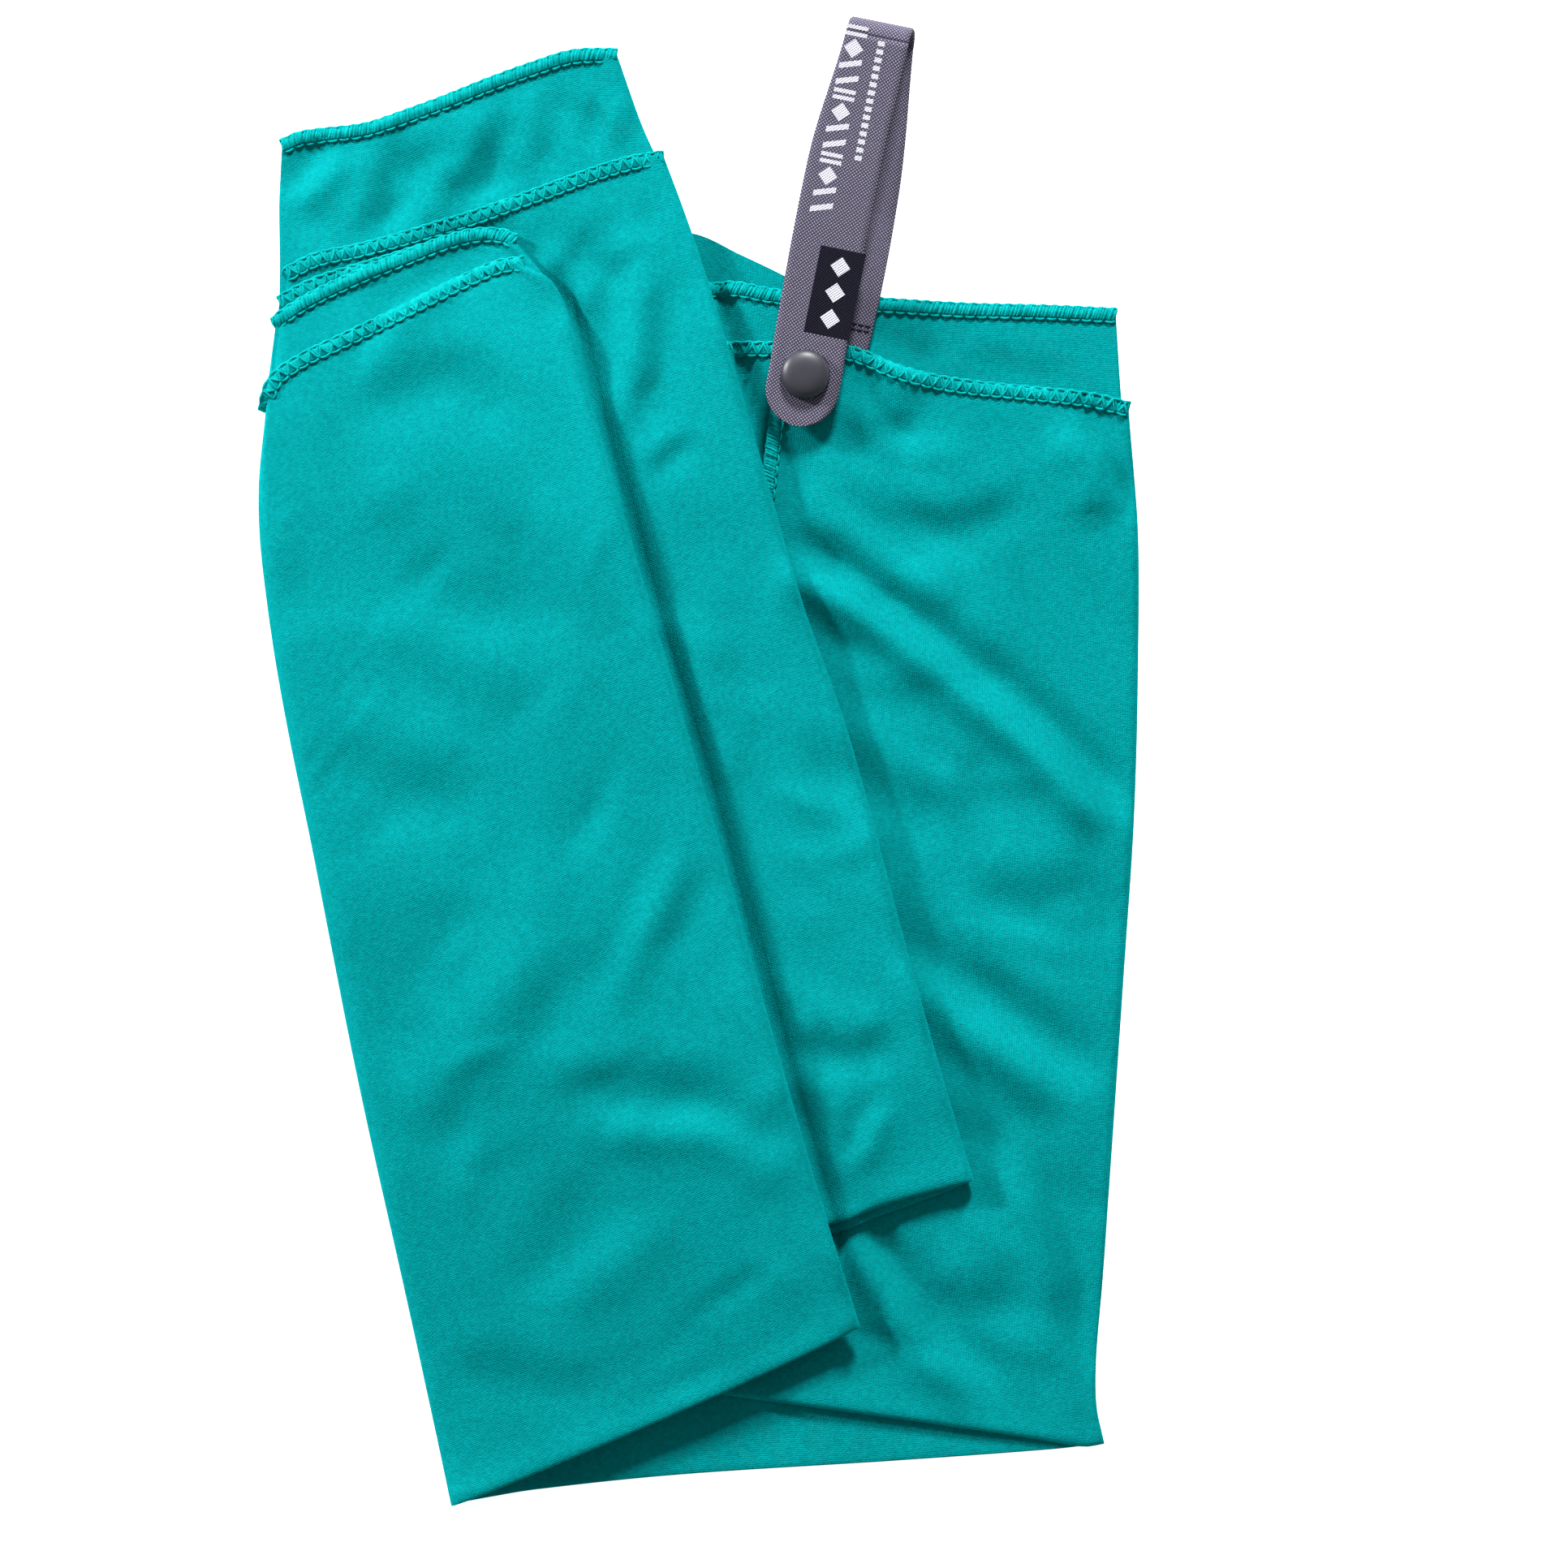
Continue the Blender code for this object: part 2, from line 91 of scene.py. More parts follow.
LEVELS = {
    "rear": leaf_levels("rear"),
    "right": {"front": level("right_panel_front", 0.6), "back": level("right_panel_back", 0.5)},
}
LEVELS.update((name, leaf_levels(name)) for name in reversed(FLAP))
TOP_LEVEL = LEVELS["front"]["front"]
SNAP = sum(node_box("snap_cap")) / 2
TAB_PIVOT = np.array(joint("tab_bend")["pos_m"]) / MM
SNAP_TO_BEND = (TAB_PIVOT - SNAP)[:2]
LOOP_REACH = float(np.linalg.norm(SNAP_TO_BEND))
STRAP_ALONG = SNAP_TO_BEND / np.linalg.norm(SNAP_TO_BEND)
STRAP_ACROSS = np.array([STRAP_ALONG[1], -STRAP_ALONG[0]])


# ---------------------------------------------------------------- outlines of the folded panels
# Each leaf is a patch between four edges. Left and right edges run up, the others to the right.

def shifted(points, across, up):
    """Points of an edge that lies beside another, to a tenth of a millimetre."""
    return [(round(x + across, 1), round(y + up, 1)) for x, y in points]


LEFT_FOLD = [
    (-57, -170.5), (-67.3, -122.7), (-78.2, -72.7), (-88.4, -20.8), (-95.8, 16.2), (-99.9, 45),
    (-100.6, 62), (-99, 79.5)]
LEFT_FOLD_BACK = LEFT_FOLD[:1] + shifted(LEFT_FOLD[1:5], 0.8, 0.2) + [
    (-99.2, 45), (-99.9, 62), (-99, 82), (-97, 99.5)]
FRONT_RIGHT = [
    (36.5, -129), (25.5, -93), (14.4, -54), (1.5, -8), (-13.4, 43), (-24.4, 81), (-29, 99), (-33.4, 109),
    (-40, 113.5)]
FRONT_RIGHT_BACK = FRONT_RIGHT[:1] + shifted(FRONT_RIGHT[1:5], -0.6, -0.2) + [
    (-25, 80.7), (-29.6, 98.8), (-34.4, 109), (-42, 118.5)]
FRONT_BOTTOM = [
    (-57, -170.5), (-48.5, -167.2), (-21, -155.7), (7, -143.5), (24, -135.5), (33, -131), (36.5, -129)]
FRONT_HEM = [
    (-99, 79.5), (-96.5, 86.3), (-90.5, 90.8), (-82, 95), (-67, 102.3), (-53, 109.6), (-46, 112.6),
    (-40, 113.5)]
FRONT_HEM_BACK = [
    (-97, 99.5), (-89.5, 104.5), (-76.5, 110.7), (-66, 115), (-58, 118.2), (-51, 120), (-45.5, 119.9),
    (-42, 118.5)]
RETURN_BOTTOM = [(-51, -163.5), (-21, -152.7), (7, -140.7), (30, -130.6), (36.5, -129)]
RETURN_LEFT = [(-51, -163.5), (-63, -120), (-74.5, -72), (-85, -20), (-92.5, 16), (-96.6, 50), (-97, 78)]
RETURN_LEFT_BACK = RETURN_LEFT + [(-97.2, 92), (-95.8, 104.3)]
RETURN_HEM = [(-97, 78), (-82, 88), (-60, 98), (-46, 108), (-40, 113.5)]
RETURN_HEM_BACK = [
    (-95.8, 104.3), (-91, 107), (-86.5, 109), (-72, 113.5), (-60, 117.2), (-46, 118.9), (-42, 118.5)]
MIDDLE_RIGHT = [
    (62.5, -95.8), (55, -71), (47.7, -45), (33.6, 7), (23.4, 36), (15.7, 62.5), (8.6, 87), (2, 109),
    (-3.2, 124.5), (-8.2, 138)]
MIDDLE_RIGHT_BACK = MIDDLE_RIGHT[:1] + shifted(MIDDLE_RIGHT[1:8], -0.6, -0.2) + [
    (-4, 124.2), (-9.5, 137), (-13.5, 146), (-19, 161.6)]
MIDDLE_BOTTOM = [(-60, -134.5), (-18, -121), (31, -105.7), (44, -100.8), (53, -98.2), (62.5, -95.8)]
MIDDLE_LEFT = [(-60, -134.5), (-73, -72), (-83.5, -20), (-91, 16), (-95.4, 50), (-96.3, 80), (-94.5, 111)]
MIDDLE_LEFT_BACK = MIDDLE_LEFT[:-1] + [(-96, 112), (-96.3, 128), (-95.8, 140.6)]
MIDDLE_HEM = [
    (-94.5, 111), (-88, 114.2), (-76, 117), (-56, 122.9), (-39, 128.8), (-22.7, 134.8), (-14, 137.2),
    (-8.2, 138)]
MIDDLE_HEM_BACK = [
    (-95.8, 140.6), (-91, 142.6), (-76, 144.6), (-61.5, 149.6), (-48.5, 154.8), (-38, 158.6),
    (-29, 161.3), (-19, 161.6)]
MIDDLE_RETURN_BOTTOM = [
    (-60, -134.5), (-18, -123.2), (31, -107.9), (44, -102.9), (55, -98.8), (62.5, -95.8)]
MIDDLE_RETURN_HEM = [(-94.5, 111), (-60, 114), (-30, 125), (-8.2, 138)]
MIDDLE_RETURN_HEM_BACK = [(-95.8, 140.6), (-76, 143), (-46, 152), (-30, 158), (-19, 161.6)]
INNER_RIGHT = [(-15, -138.5), (-2, -50), (12.6, 50), (14.8, 66), (16.8, 80), (18.6, 94.1)]
INNER_RIGHT_BACK = [(-15, -138.5), (-2.6, -50), (12, 50), (14.2, 66), (16.2, 80), (19.6, 106)]
INNER_LEFT = [(-56, -132), (-70, -72), (-80, -20), (-87, 16), (-91, 50), (-87, 99)]
INNER_LEFT_BACK = INNER_LEFT[:-1] + [(-88.5, 96), (-87, 113)]
INNER_BOTTOM = [(-56, -132), (-35, -136), (-15, -138.5)]
INNER_HEM = [(-87, 99), (-40, 97), (6.8, 94.5), (12, 94.2), (18.6, 94.1)]
INNER_HEM_BACK = [(-87, 113), (-40, 111), (1.8, 108.1), (8, 108), (15, 106.6), (19.6, 106)]
LOWER_HEM = [(-87, 99), (-40, 92), (6.8, 89), (18.6, 94.1)]
LOWER_HEM_BACK = [(-87, 113), (-40, 105), (1.8, 102), (19.6, 106)]
RIGHT_FOLD = [
    (92.7, -156.6), (90.9, -148), (90.8, -137.5), (92.2, -120), (93.6, -100), (97, -50), (99.5, -11.6),
    (100.4, 25), (100.3, 53), (98.2, 80.2)]
RIGHT_FOLD_BACK = RIGHT_FOLD[:1] + shifted(RIGHT_FOLD[1:8], -0.6, 0) + [
    (99.6, 53), (96.8, 80), (95.3, 102.2)]
RIGHT_HEM = [
    (19.8, 94.8), (33, 93.4), (38, 91.8), (44, 89.2), (52, 87), (62.5, 85.4), (75, 84.2), (90, 82.6),
    (98.2, 80.6)]
RIGHT_HEM_BACK = [(20.5, 105.9), (39.7, 104.6), (60, 103.4), (80, 102.9), (95.3, 102.2)]
RIGHT_BOTTOM = [
    (-11, -142.8), (3, -145), (30, -148.7), (60, -152.9), (80, -156), (88, -157.3), (92.7, -156.6)]
END_EDGE = [(-11, -142.8), (3, -40), (12.8, 40), (15.4, 62), (17.4, 78), (19.8, 94.2)]
END_EDGE_BACK = [(-11, -142.8), (3, -40), (12.8, 40), (15.8, 62), (18, 78), (20.5, 105.9)]
REAR_BOTTOM = [
    (-57, -170.5), (-50, -169.2), (-38, -167.2), (-5.5, -163.8), (44, -160.6), (80, -158), (92.7, -156.6)]
REAR_HEM = [(-99, 79.5), (-40, 88), (40, 84), (98.2, 80.2)]
REAR_HEM_BACK = [
    (-97, 99.5), (-60, 112), (-30, 122), (-2.3, 121.2), (9, 116.2), (20.5, 110.6), (36, 101.5),
    (70, 98.5), (95.3, 102.2)]

# Panel, and its left, right, bottom and top edges, each for the front leaf and the back leaf
PANEL_EDGES = [
    ("rear", (LEFT_FOLD, LEFT_FOLD_BACK), (RIGHT_FOLD, RIGHT_FOLD_BACK), REAR_BOTTOM,
     (REAR_HEM, REAR_HEM_BACK)),
    ("right", (END_EDGE, END_EDGE_BACK), (RIGHT_FOLD, RIGHT_FOLD_BACK), RIGHT_BOTTOM,
     (RIGHT_HEM, RIGHT_HEM_BACK)),
    ("inner", (INNER_LEFT, INNER_LEFT_BACK), (INNER_RIGHT, INNER_RIGHT_BACK), INNER_BOTTOM,
     (LOWER_HEM, LOWER_HEM_BACK)),
    ("inner_return", (INNER_LEFT, INNER_LEFT_BACK), (INNER_RIGHT, INNER_RIGHT_BACK), INNER_BOTTOM,
     (INNER_HEM, INNER_HEM_BACK)),
    ("middle_return", (MIDDLE_LEFT, MIDDLE_LEFT_BACK), (MIDDLE_RIGHT, MIDDLE_RIGHT_BACK),
     MIDDLE_RETURN_BOTTOM, (MIDDLE_RETURN_HEM, MIDDLE_RETURN_HEM_BACK)),
    ("middle", (MIDDLE_LEFT, MIDDLE_LEFT_BACK), (MIDDLE_RIGHT, MIDDLE_RIGHT_BACK), MIDDLE_BOTTOM,
     (MIDDLE_HEM, MIDDLE_HEM_BACK)),
    ("front_return", (RETURN_LEFT, RETURN_LEFT_BACK), (FRONT_RIGHT, FRONT_RIGHT_BACK), RETURN_BOTTOM,
     (RETURN_HEM, RETURN_HEM_BACK)),
    ("front", (LEFT_FOLD, LEFT_FOLD_BACK), (FRONT_RIGHT, FRONT_RIGHT_BACK), FRONT_BOTTOM,
     (FRONT_HEM, FRONT_HEM_BACK)),
]
LEAVES = {(name, side): (left[k], right[k], bottom, top[k])
          for name, left, right, bottom, top in PANEL_EDGES for k, side in enumerate(("front", "back"))}
# Panels that turn into each other: (panel, panel, side of both)
CROSS_FOLDS = [("rear", "right", "right"), ("rear", "front", "left"), ("front", "front_return", "right"),
               ("middle", "middle_return", "right"), ("inner_return", "inner", "right")]
PUFFED = {("front", "right"), ("middle", "right")}
HIDDEN_FOLDS = [("middle", "middle_return", "left"), ("inner_return", "inner", "left")]


# ---------------------------------------------------------------- heights of the pile

def smooth(low, high, x):
    t = np.clip((x - low) / (high - low), 0.0, 1.0)
    return t * t * (3 - 2 * t)


def settle(x, y):
    """How much of its full height the pile keeps at a place: less towards its ends."""
    bottom = 1 - 0.55 * smooth(-55.0, -165.0, y)
    right = 1 - 0.40 * smooth(40.0, 101.0, x)
    head = 1 - 0.72 * smooth(55.0, 165.0, y) * (1 - smooth(-4.0, 12.0, x))
    corner = 1 - 0.25 * smooth(30.0, 75.0, x) * smooth(60.0, 104.0, y)
    return bottom * right * head * corner


def ridge(points, width, height, taper=0.25):
    """A soft ridge, or a valley when height is negative, along a line through points."""
    length = np.sum(np.linalg.norm(np.diff(np.array(points, float), axis=0), axis=1))
    share = np.linspace(0, 1, int(np.clip(2.2 * length / width, 8, 160)))
    line = along(points, share)
    fade = np.minimum(1.0, np.minimum(share, 1 - share) / taper)
    fade = fade * fade * (3 - 2 * fade)

    def lift(x, y):
        best = np.full(np.shape(x), -1e9)
        value = np.zeros(np.shape(x))
        for (px, py), strength in zip(line, fade):
            near = -((x - px) ** 2 + (y - py) ** 2) / width ** 2
            value = np.where(near > best, strength, value)
            best = np.maximum(best, near)
        return height * value * np.exp(best)

    return lift


def run_along(line):
    """Distance from a line's start to each of its points."""
    return np.concatenate([[0], np.cumsum(np.linalg.norm(np.diff(line, axis=0), axis=1))])


def tangents(line):
    """Unit directions along a line."""
    tangent = np.gradient(line, axis=0)
    return tangent / np.linalg.norm(tangent, axis=1, keepdims=True)


def along(points, share):
    """Places at shares of the length of a smooth curve through points."""
    p = np.array(points, float)
    if len(p) == 2:
        dense = p[0] + (p[1] - p[0]) * np.linspace(0, 1, 50)[:, None]
    else:
        ends = np.vstack([2 * p[0] - p[1], p, 2 * p[-1] - p[-2]])
        pieces = []
        for i in range(1, len(ends) - 2):
            a, b, c, d = ends[i - 1:i + 3]
            chord = np.linalg.norm(c - b)
            out = (c - a) / max(np.linalg.norm(c - a), 1e-6) * chord
            into = (d - b) / max(np.linalg.norm(d - b), 1e-6) * chord
            t = np.linspace(0, 1, 24, endpoint=i == len(ends) - 3)[:, None]
            piece = (2 * t ** 3 - 3 * t ** 2 + 1) * b + (t ** 3 - 2 * t ** 2 + t) * out
            piece = piece + (3 * t ** 2 - 2 * t ** 3) * c + (t ** 3 - t ** 2) * into
            pieces.append(piece)
        dense = np.vstack(pieces)
    run = run_along(dense)
    place = np.asarray(share) * run[-1]
    return np.stack([np.interp(place, run, dense[:, k]) for k in range(dense.shape[1])], -1)


LIGHT_SIDE = np.array([-0.1, 0.995])    # where most of the light comes from, seen from above


def streak(points, width, height, taper=0.3):
    """A lit slope along a line, or a shaded one when height is negative: a crest and a trough beside it."""
    line = along(points, np.linspace(0, 1, 12))
    tangent = tangents(line)
    normal = np.stack([-tangent[:, 1], tangent[:, 0]], -1)
    normal *= np.where(normal @ LIGHT_SIDE < 0, -1.0, 1.0)[:, None]
    shift = 0.7 * width * normal
    crest = ridge(line - shift, width, height, taper)
    trough = ridge(line + shift, width, -0.8 * height, taper)
    return lambda x, y: crest(x, y) + trough(x, y)


# Where the relaxed cloth catches the light or turns from it, for the panel that it is seen on:
# the points of its line, its width and its height
RIGHT_FOLDS = [streak(*fold) for fold in (
    ([(17, 50), (28, 43), (40, 35), (52, 26), (66, 15), (80, 3), (88, -6), (95, -18)], 4.8, 3.7, 0.14),
    ([(47, -40), (56, -51), (68, -61), (80, -70), (91, -80)], 5.6, 2.5),
    ([(53, -60), (62, -68), (71, -76), (82, -88)], 4.5, -0.6),
    ([(60, -24), (75, -29), (93, -24)], 7.5, -1),
    ([(28, 62), (36, 54), (44, 46), (54, 40)], 4.5, 1.5),
    ([(72, -86), (80, -107), (85, -128), (88, -145)], 5, 1.8),
    ([(28, -100), (44, -119), (55, -134), (68, -150)], 5, 3),
    ([(50, -118), (62, -122), (76, -116)], 7.5, -0.9),
    ([(82, 80), (92, 70), (96, 54)], 6, 2.1),
    ([(40, 65), (47, 58), (57, 56), (67, 59), (73, 67)], 5, -1),
    ([(38, 84), (41, 77), (48, 71)], 3.2, 1),
    ([(28, 84), (38, 76), (52, 82)], 5, -1.2),
    ([(34, 98), (44, 92), (56, 88)], 4, 1.8),
    ([(60, 96), (72, 92), (86, 90)], 4.5, -1.2),
    ([(26, 10), (44, -4), (66, -12)], 7, -1.4),
)]
FRONT_FOLDS = [streak(*fold) for fold in (
    ([(-38, -10), (-45, -32), (-52, -50), (-62, -64), (-72, -78)], 9, 1.1),
    ([(-28, -38), (-34, -50), (-44, -66)], 6.5, -0.7),
    ([(-7, -18), (-13, -34), (-19, -48), (-22, -60)], 4, 0.7),
    ([(1, -20), (-4, -32), (-11, -46)], 4.5, -0.7),
    ([(-38, -78), (-24, -71), (-8, -70), (8, -77)], 5.5, -0.7),
    ([(-30, -80), (-14, -82), (2, -82), (14, -89), (22, -98)], 4.6, 1.1),
    ([(-42, -126), (-30, -117), (-18, -107), (-12, -96)], 7, 1),
    ([(-62, -136), (-48, -136), (-34, -139), (-16, -141)], 6.5, -0.7),
    ([(-70, -84), (-56, -78), (-48, -68)], 7.5, -0.5),
    ([(-84, 76), (-72, 86), (-56, 91), (-45, 84), (-40, 70)], 7.5, -1.2),
    ([(-76, 40), (-56, 30), (-34, 26)], 8, 1.1),
    ([(-86, 10), (-66, -2), (-48, -4)], 9, -1.2),
    ([(-40, 60), (-34, 44), (-26, 26)], 7, -1.1),
    ([(-74, 98), (-62, 106), (-54, 110)], 3, 0.8),
)]
LEFT_ROLL = [(-104, 60), (-100, 20), (-86, -40), (-72, -110), (-60, -175)]
FRONT_FOLDS.append(ridge(LEFT_ROLL, 11, -1.4, taper=0.12))
MIDDLE_FOLDS = [streak(*fold) for fold in (
    ([(-17, 118), (-17, 106), (-17, 92), (-16, 80)], 4.4, 1.6),
    ([(-30, 122), (-30, 110), (-28, 98)], 4, -1.4),
    ([(-10, 116), (-11, 100), (-13, 84), (-17, 68)], 5, -0.8),
    ([(-1, 75), (-7, 71), (-13, 65)], 3, -0.8),
    ([(20, -60), (32, -64), (46, -62)], 5, -1.4),
    ([(34, -94), (38, -84), (42, -76)], 3, 1.1),
    ([(0, 40), (6, 18), (14, -8)], 6, 1.1),
    ([(-95, 127), (-88, 134), (-82, 141)], 3.6, 1.7),
    ([(-76, 120), (-74, 130), (-72, 141)], 4, -1.4),
    ([(-66, 122), (-63, 131), (-60, 141)], 4, 1.4),
    ([(-52, 128), (-50, 138), (-45, 150)], 4.5, -1.4),
    ([(-38, 132), (-37, 143), (-34, 155)], 4, -1.1),
    ([(-22, 138), (-22, 148), (-23, 157)], 3, 1.4),
)]


def undulation(x, y):
    """Wide, shallow waves of relaxed cloth."""
    wave = 0.30 * np.sin(x / 17.0 + y / 41.0 + 0.6) * np.sin(y / 29.0 - x / 53.0)
    return wave + 0.12 * np.sin(x / 7.3 - y / 11.0) * np.sin(y / 8.7 + x / 19.0)


def creases(seed, count, box, heading, spread, reach, size):
    """Small random creases inside a box of the plan, mostly in one heading (degrees)."""
    rng = np.random.default_rng(seed)
    made = []
    for _ in range(count):
        x, y = rng.uniform(box[0], box[2]), rng.uniform(box[1], box[3])
        angle = math.radians(rng.normal(heading, spread))
        length = rng.uniform(*reach) / 2
        side = rng.uniform(-0.25, 0.25) * length
        dx, dy = math.cos(angle), math.sin(angle)
        points = [(x - dx * length, y - dy * length), (x - dy * side, y + dx * side),
                  (x + dx * length, y + dy * length)]
        made.append(ridge(points, rng.uniform(2.2, 5.5), rng.uniform(-size, size), 0.5))
    return made


def sink_beside(edge, shift, width, depth):
    """Cloth lies lower beside the thicker pile that ends at this edge."""
    line = along(edge, np.linspace(0, 1, 40)) + np.array([shift, -0.25 * shift])
    return ridge(line, width, -depth, 0.08)


class WaveMap:
    """Sum of folds, worked out once on a grid and read between its points."""

    def __init__(self, folds):
        self.x = np.arange(-112.0, 113.0, 0.8)
        self.y = np.arange(-182.0, 183.0, 0.8)
        x, y = np.meshgrid(self.x, self.y, indexing="ij")
        self.values = sum(fold(x, y) for fold in folds)

    def __call__(self, x, y):
        step = self.x[1] - self.x[0]
        u = np.clip((x - self.x[0]) / step, 0, len(self.x) - 1.001)
        v = np.clip((y - self.y[0]) / step, 0, len(self.y) - 1.001)
        i, j = u.astype(int), v.astype(int)
        s, t = u - i, v - j
        w = self.values
        near = w[i, j] * (1 - t) + w[i, j + 1] * t
        far = w[i + 1, j] * (1 - t) + w[i + 1, j + 1] * t
        return near * (1 - s) + far * s


front_waves = WaveMap(FRONT_FOLDS + creases(3, 70, (-95, -150, 20, 95), 62, 32, (14, 40), 0.8))
middle_waves = WaveMap(MIDDLE_FOLDS + creases(5, 34, (-90, 112, -10, 150), 75, 30, (10, 26), 1.1)
                       + creases(7, 26, (-20, -95, 50, 110), 75, 40, (10, 28), 0.6))
right_waves = WaveMap(RIGHT_FOLDS + [undulation] + creases(9, 60, (15, -150, 95, 85), -42, 30, (14, 44), 1.2))
# Cloth below an edge of the pile: where it sinks, and the highest level that lies below that edge
SINKS = [
    (WaveMap([sink_beside(FRONT_RIGHT, 0.6, 2.3, 3.4), sink_beside(FRONT_HEM_BACK, 1.0, 3.2, 1.0),
              sink_beside(FRONT_BOTTOM, 0.5, 4.0, 0.4)]), LEVELS["middle"]["front"]),
    (WaveMap([sink_beside(MIDDLE_RIGHT, 0.7, 2.4, 4.6), sink_beside(MIDDLE_BOTTOM, 0.5, 4.0, 0.8)]),
     LEVELS["inner_return"]["front"]),
]


CALM_RADIUS = 13.0    # the cloth lies flat this near the snap


def height(x, y, at):
    """Height of a leaf whose place in the unsqueezed pile is at, for plan places x and y."""
    share = at / TOP_LEVEL
    pile = at * settle(x, y)
    waves = share * front_waves(x, y)
    waves = waves + min(1.0, at / LEVELS["middle"]["front"]) * middle_waves(x, y)
    on_right = min(1.0, at / LEVELS["right"]["front"])
    calm = 1 - np.exp(-((x - SNAP[0]) ** 2 + (y - SNAP[1]) ** 2) / CALM_RADIUS ** 2)
    waves = waves + on_right * calm * right_waves(x, y)
    for sink, top in SINKS:
        if at <= top:
            waves = waves + on_right * sink(x, y)
    return np.maximum(pile + waves, 0.2 + 0.13 * at)


# ---------------------------------------------------------------- cloth

ROWS = 150
FOLD_COLUMNS = 7
COLUMN_STEP = 1.7
LEAF_LENGTH = 250.0       # a leaf from the lengthwise fold to its hem, as cloth
PANEL_SPACING = 100.0     # keeps the panels apart in cloth coordinates


def spaced(width, step):
    """Shares across a panel, crowded towards both folds."""
    reach = 7.0
    turn = reach * (1 - np.cos(np.linspace(0, math.pi / 2, FOLD_COLUMNS)))
    inner = np.linspace(reach, width - reach, max(4, int((width - 2 * reach) / step)))
    places = np.concatenate([turn, inner[1:-1], (width - turn)[::-1]])
    return places / width


def rows():
    """Shares up a panel, crowded towards the lengthwise fold and the hem."""
    length = 260.0
    turn = 3.0 * (1 - np.cos(np.linspace(0, math.pi / 2, FOLD_COLUMNS)))
    inner = np.linspace(3.0, length - 4.0, ROWS - 2 * FOLD_COLUMNS + 2)
    return np.concatenate([turn, inner[1:-1], np.linspace(length - 4.0, length, FOLD_COLUMNS)]) / length


ROW_SHARES = rows()


def patch(leaf, columns):
    """Plan places of a leaf's grid, by blending its four edges."""
    left, right, bottom, top = LEAVES[leaf]
    v = ROW_SHARES[None, :, None]
    u = columns[:, None, None]
    l, r = along(left, ROW_SHARES)[None], along(right, ROW_SHARES)[None]
    b, t = along(bottom, columns)[:, None], along(top, columns)[:, None]
    corners = (1 - u) * (1 - v) * l[:, :1] + u * (1 - v) * r[:, :1]
    corners = corners + (1 - u) * v * l[:, -1:] + u * v * r[:, -1:]
    return (1 - u) * l + u * r + (1 - v) * b + v * t - corners


def roundness(distance, radius):
    """0 at a fold's outermost line, 1 where the leaf is flat again."""
    share = np.clip(distance / np.maximum(radius, 1e-6), 0.0, 1.0)
    return np.sqrt(np.maximum(0.0, 1 - (1 - share) ** 2))


def build_leaves():
    """Every leaf's grid as places, before the leaves are sewn into one sheet."""
    leaves = {}
    for panel in LEVELS:
        left, right = LEAVES[(panel, "front")][:2]
        widths = [np.linalg.norm(np.array(left[k]) - np.array(right[k])) for k in (0, -1)]
        columns = spaced(float(np.mean(widths)), COLUMN_STEP)
        for side in ("front", "back"):
            plan = patch((panel, side), columns)
            z = height(plan[..., 0], plan[..., 1], LEVELS[panel][side])
            leaves[(panel, side)] = [plan, z]
    for panel in LEVELS:
        front, back = leaves[(panel, "front")], leaves[(panel, "back")]
        middle = (front[1][:, :1] + back[1][:, :1]) / 2
        for leaf in (front, back):
            distance = np.linalg.norm(leaf[0] - leaf[0][:, :1], axis=-1)
            puff = 0.55 * np.exp(-((distance - 2.0) / 3.0) ** 2)
            sign = np.sign(leaf[1][:, :1] - middle)
            amount = 1.0 if panel in ("front", "middle", "right") else 0.3
            shaped = leaf[1] + puff * sign * amount * 0.6
            leaf[1] = middle + (shaped - middle) * roundness(distance, 1.3)
    for one, other, side in CROSS_FOLDS + HIDDEN_FOLDS:
        edge = 0 if side == "left" else -1
        for leaf in ("front", "back"):
            pair = (leaves[(one, leaf)], leaves[(other, leaf)])
            middle = (pair[0][1][edge] + pair[1][1][edge]) / 2
            for place in pair:
                distance = np.linalg.norm(place[0] - place[0][edge][None], axis=-1)
                rise = np.abs(place[1][edge] - middle)[None]
                puff = 0.8 * np.exp(-((distance - 2.4) / 1.9) ** 2) if (one, side) in PUFFED else 0.0
                lifted = place[1] + puff * np.sign(place[1][edge] - middle)[None]
                place[1] = middle[None] + (lifted - middle[None]) * roundness(distance, 0.9 * rise + 0.5)
    return leaves


def cloth_parts(leaves):
    """Vertices, faces and cloth coordinates of all leaves as one sewn sheet, with a part per face."""
    verts, faces, coords, owners = [], [], [], []
    start = 0
    offset = {panel: PANEL_SPACING * number for number, panel in enumerate(("right", "rear") + FLAP)}
    for (panel, side), (plan, z) in leaves.items():
        count_u, count_v = z.shape
        verts.append(np.concatenate([plan, z[..., None]], -1).reshape(-1, 3))
        middle_row = run_along(plan[:, count_v // 2])
        u = np.repeat(middle_row[:, None], count_v, 1) + offset[panel]
        v = np.repeat(ROW_SHARES[None] * LEAF_LENGTH, count_u, 0) * (1 if side == "front" else -1)
        coords.append(np.stack([u, v], -1).reshape(-1, 2))
        index = start + np.arange(count_u * count_v).reshape(count_u, count_v)
        quads = np.stack([index[:-1, :-1], index[1:, :-1], index[1:, 1:], index[:-1, 1:]], -1).reshape(-1, 4)
        facing_up = (side == "front") == (panel in FACING_UP)
        faces.append(quads if facing_up else quads[:, ::-1])
        owners.append(np.full(len(quads), list(LEVELS).index(panel)))
        start += count_u * count_v
    return np.vstack(verts), np.vstack(faces), np.vstack(coords), np.concatenate(owners)


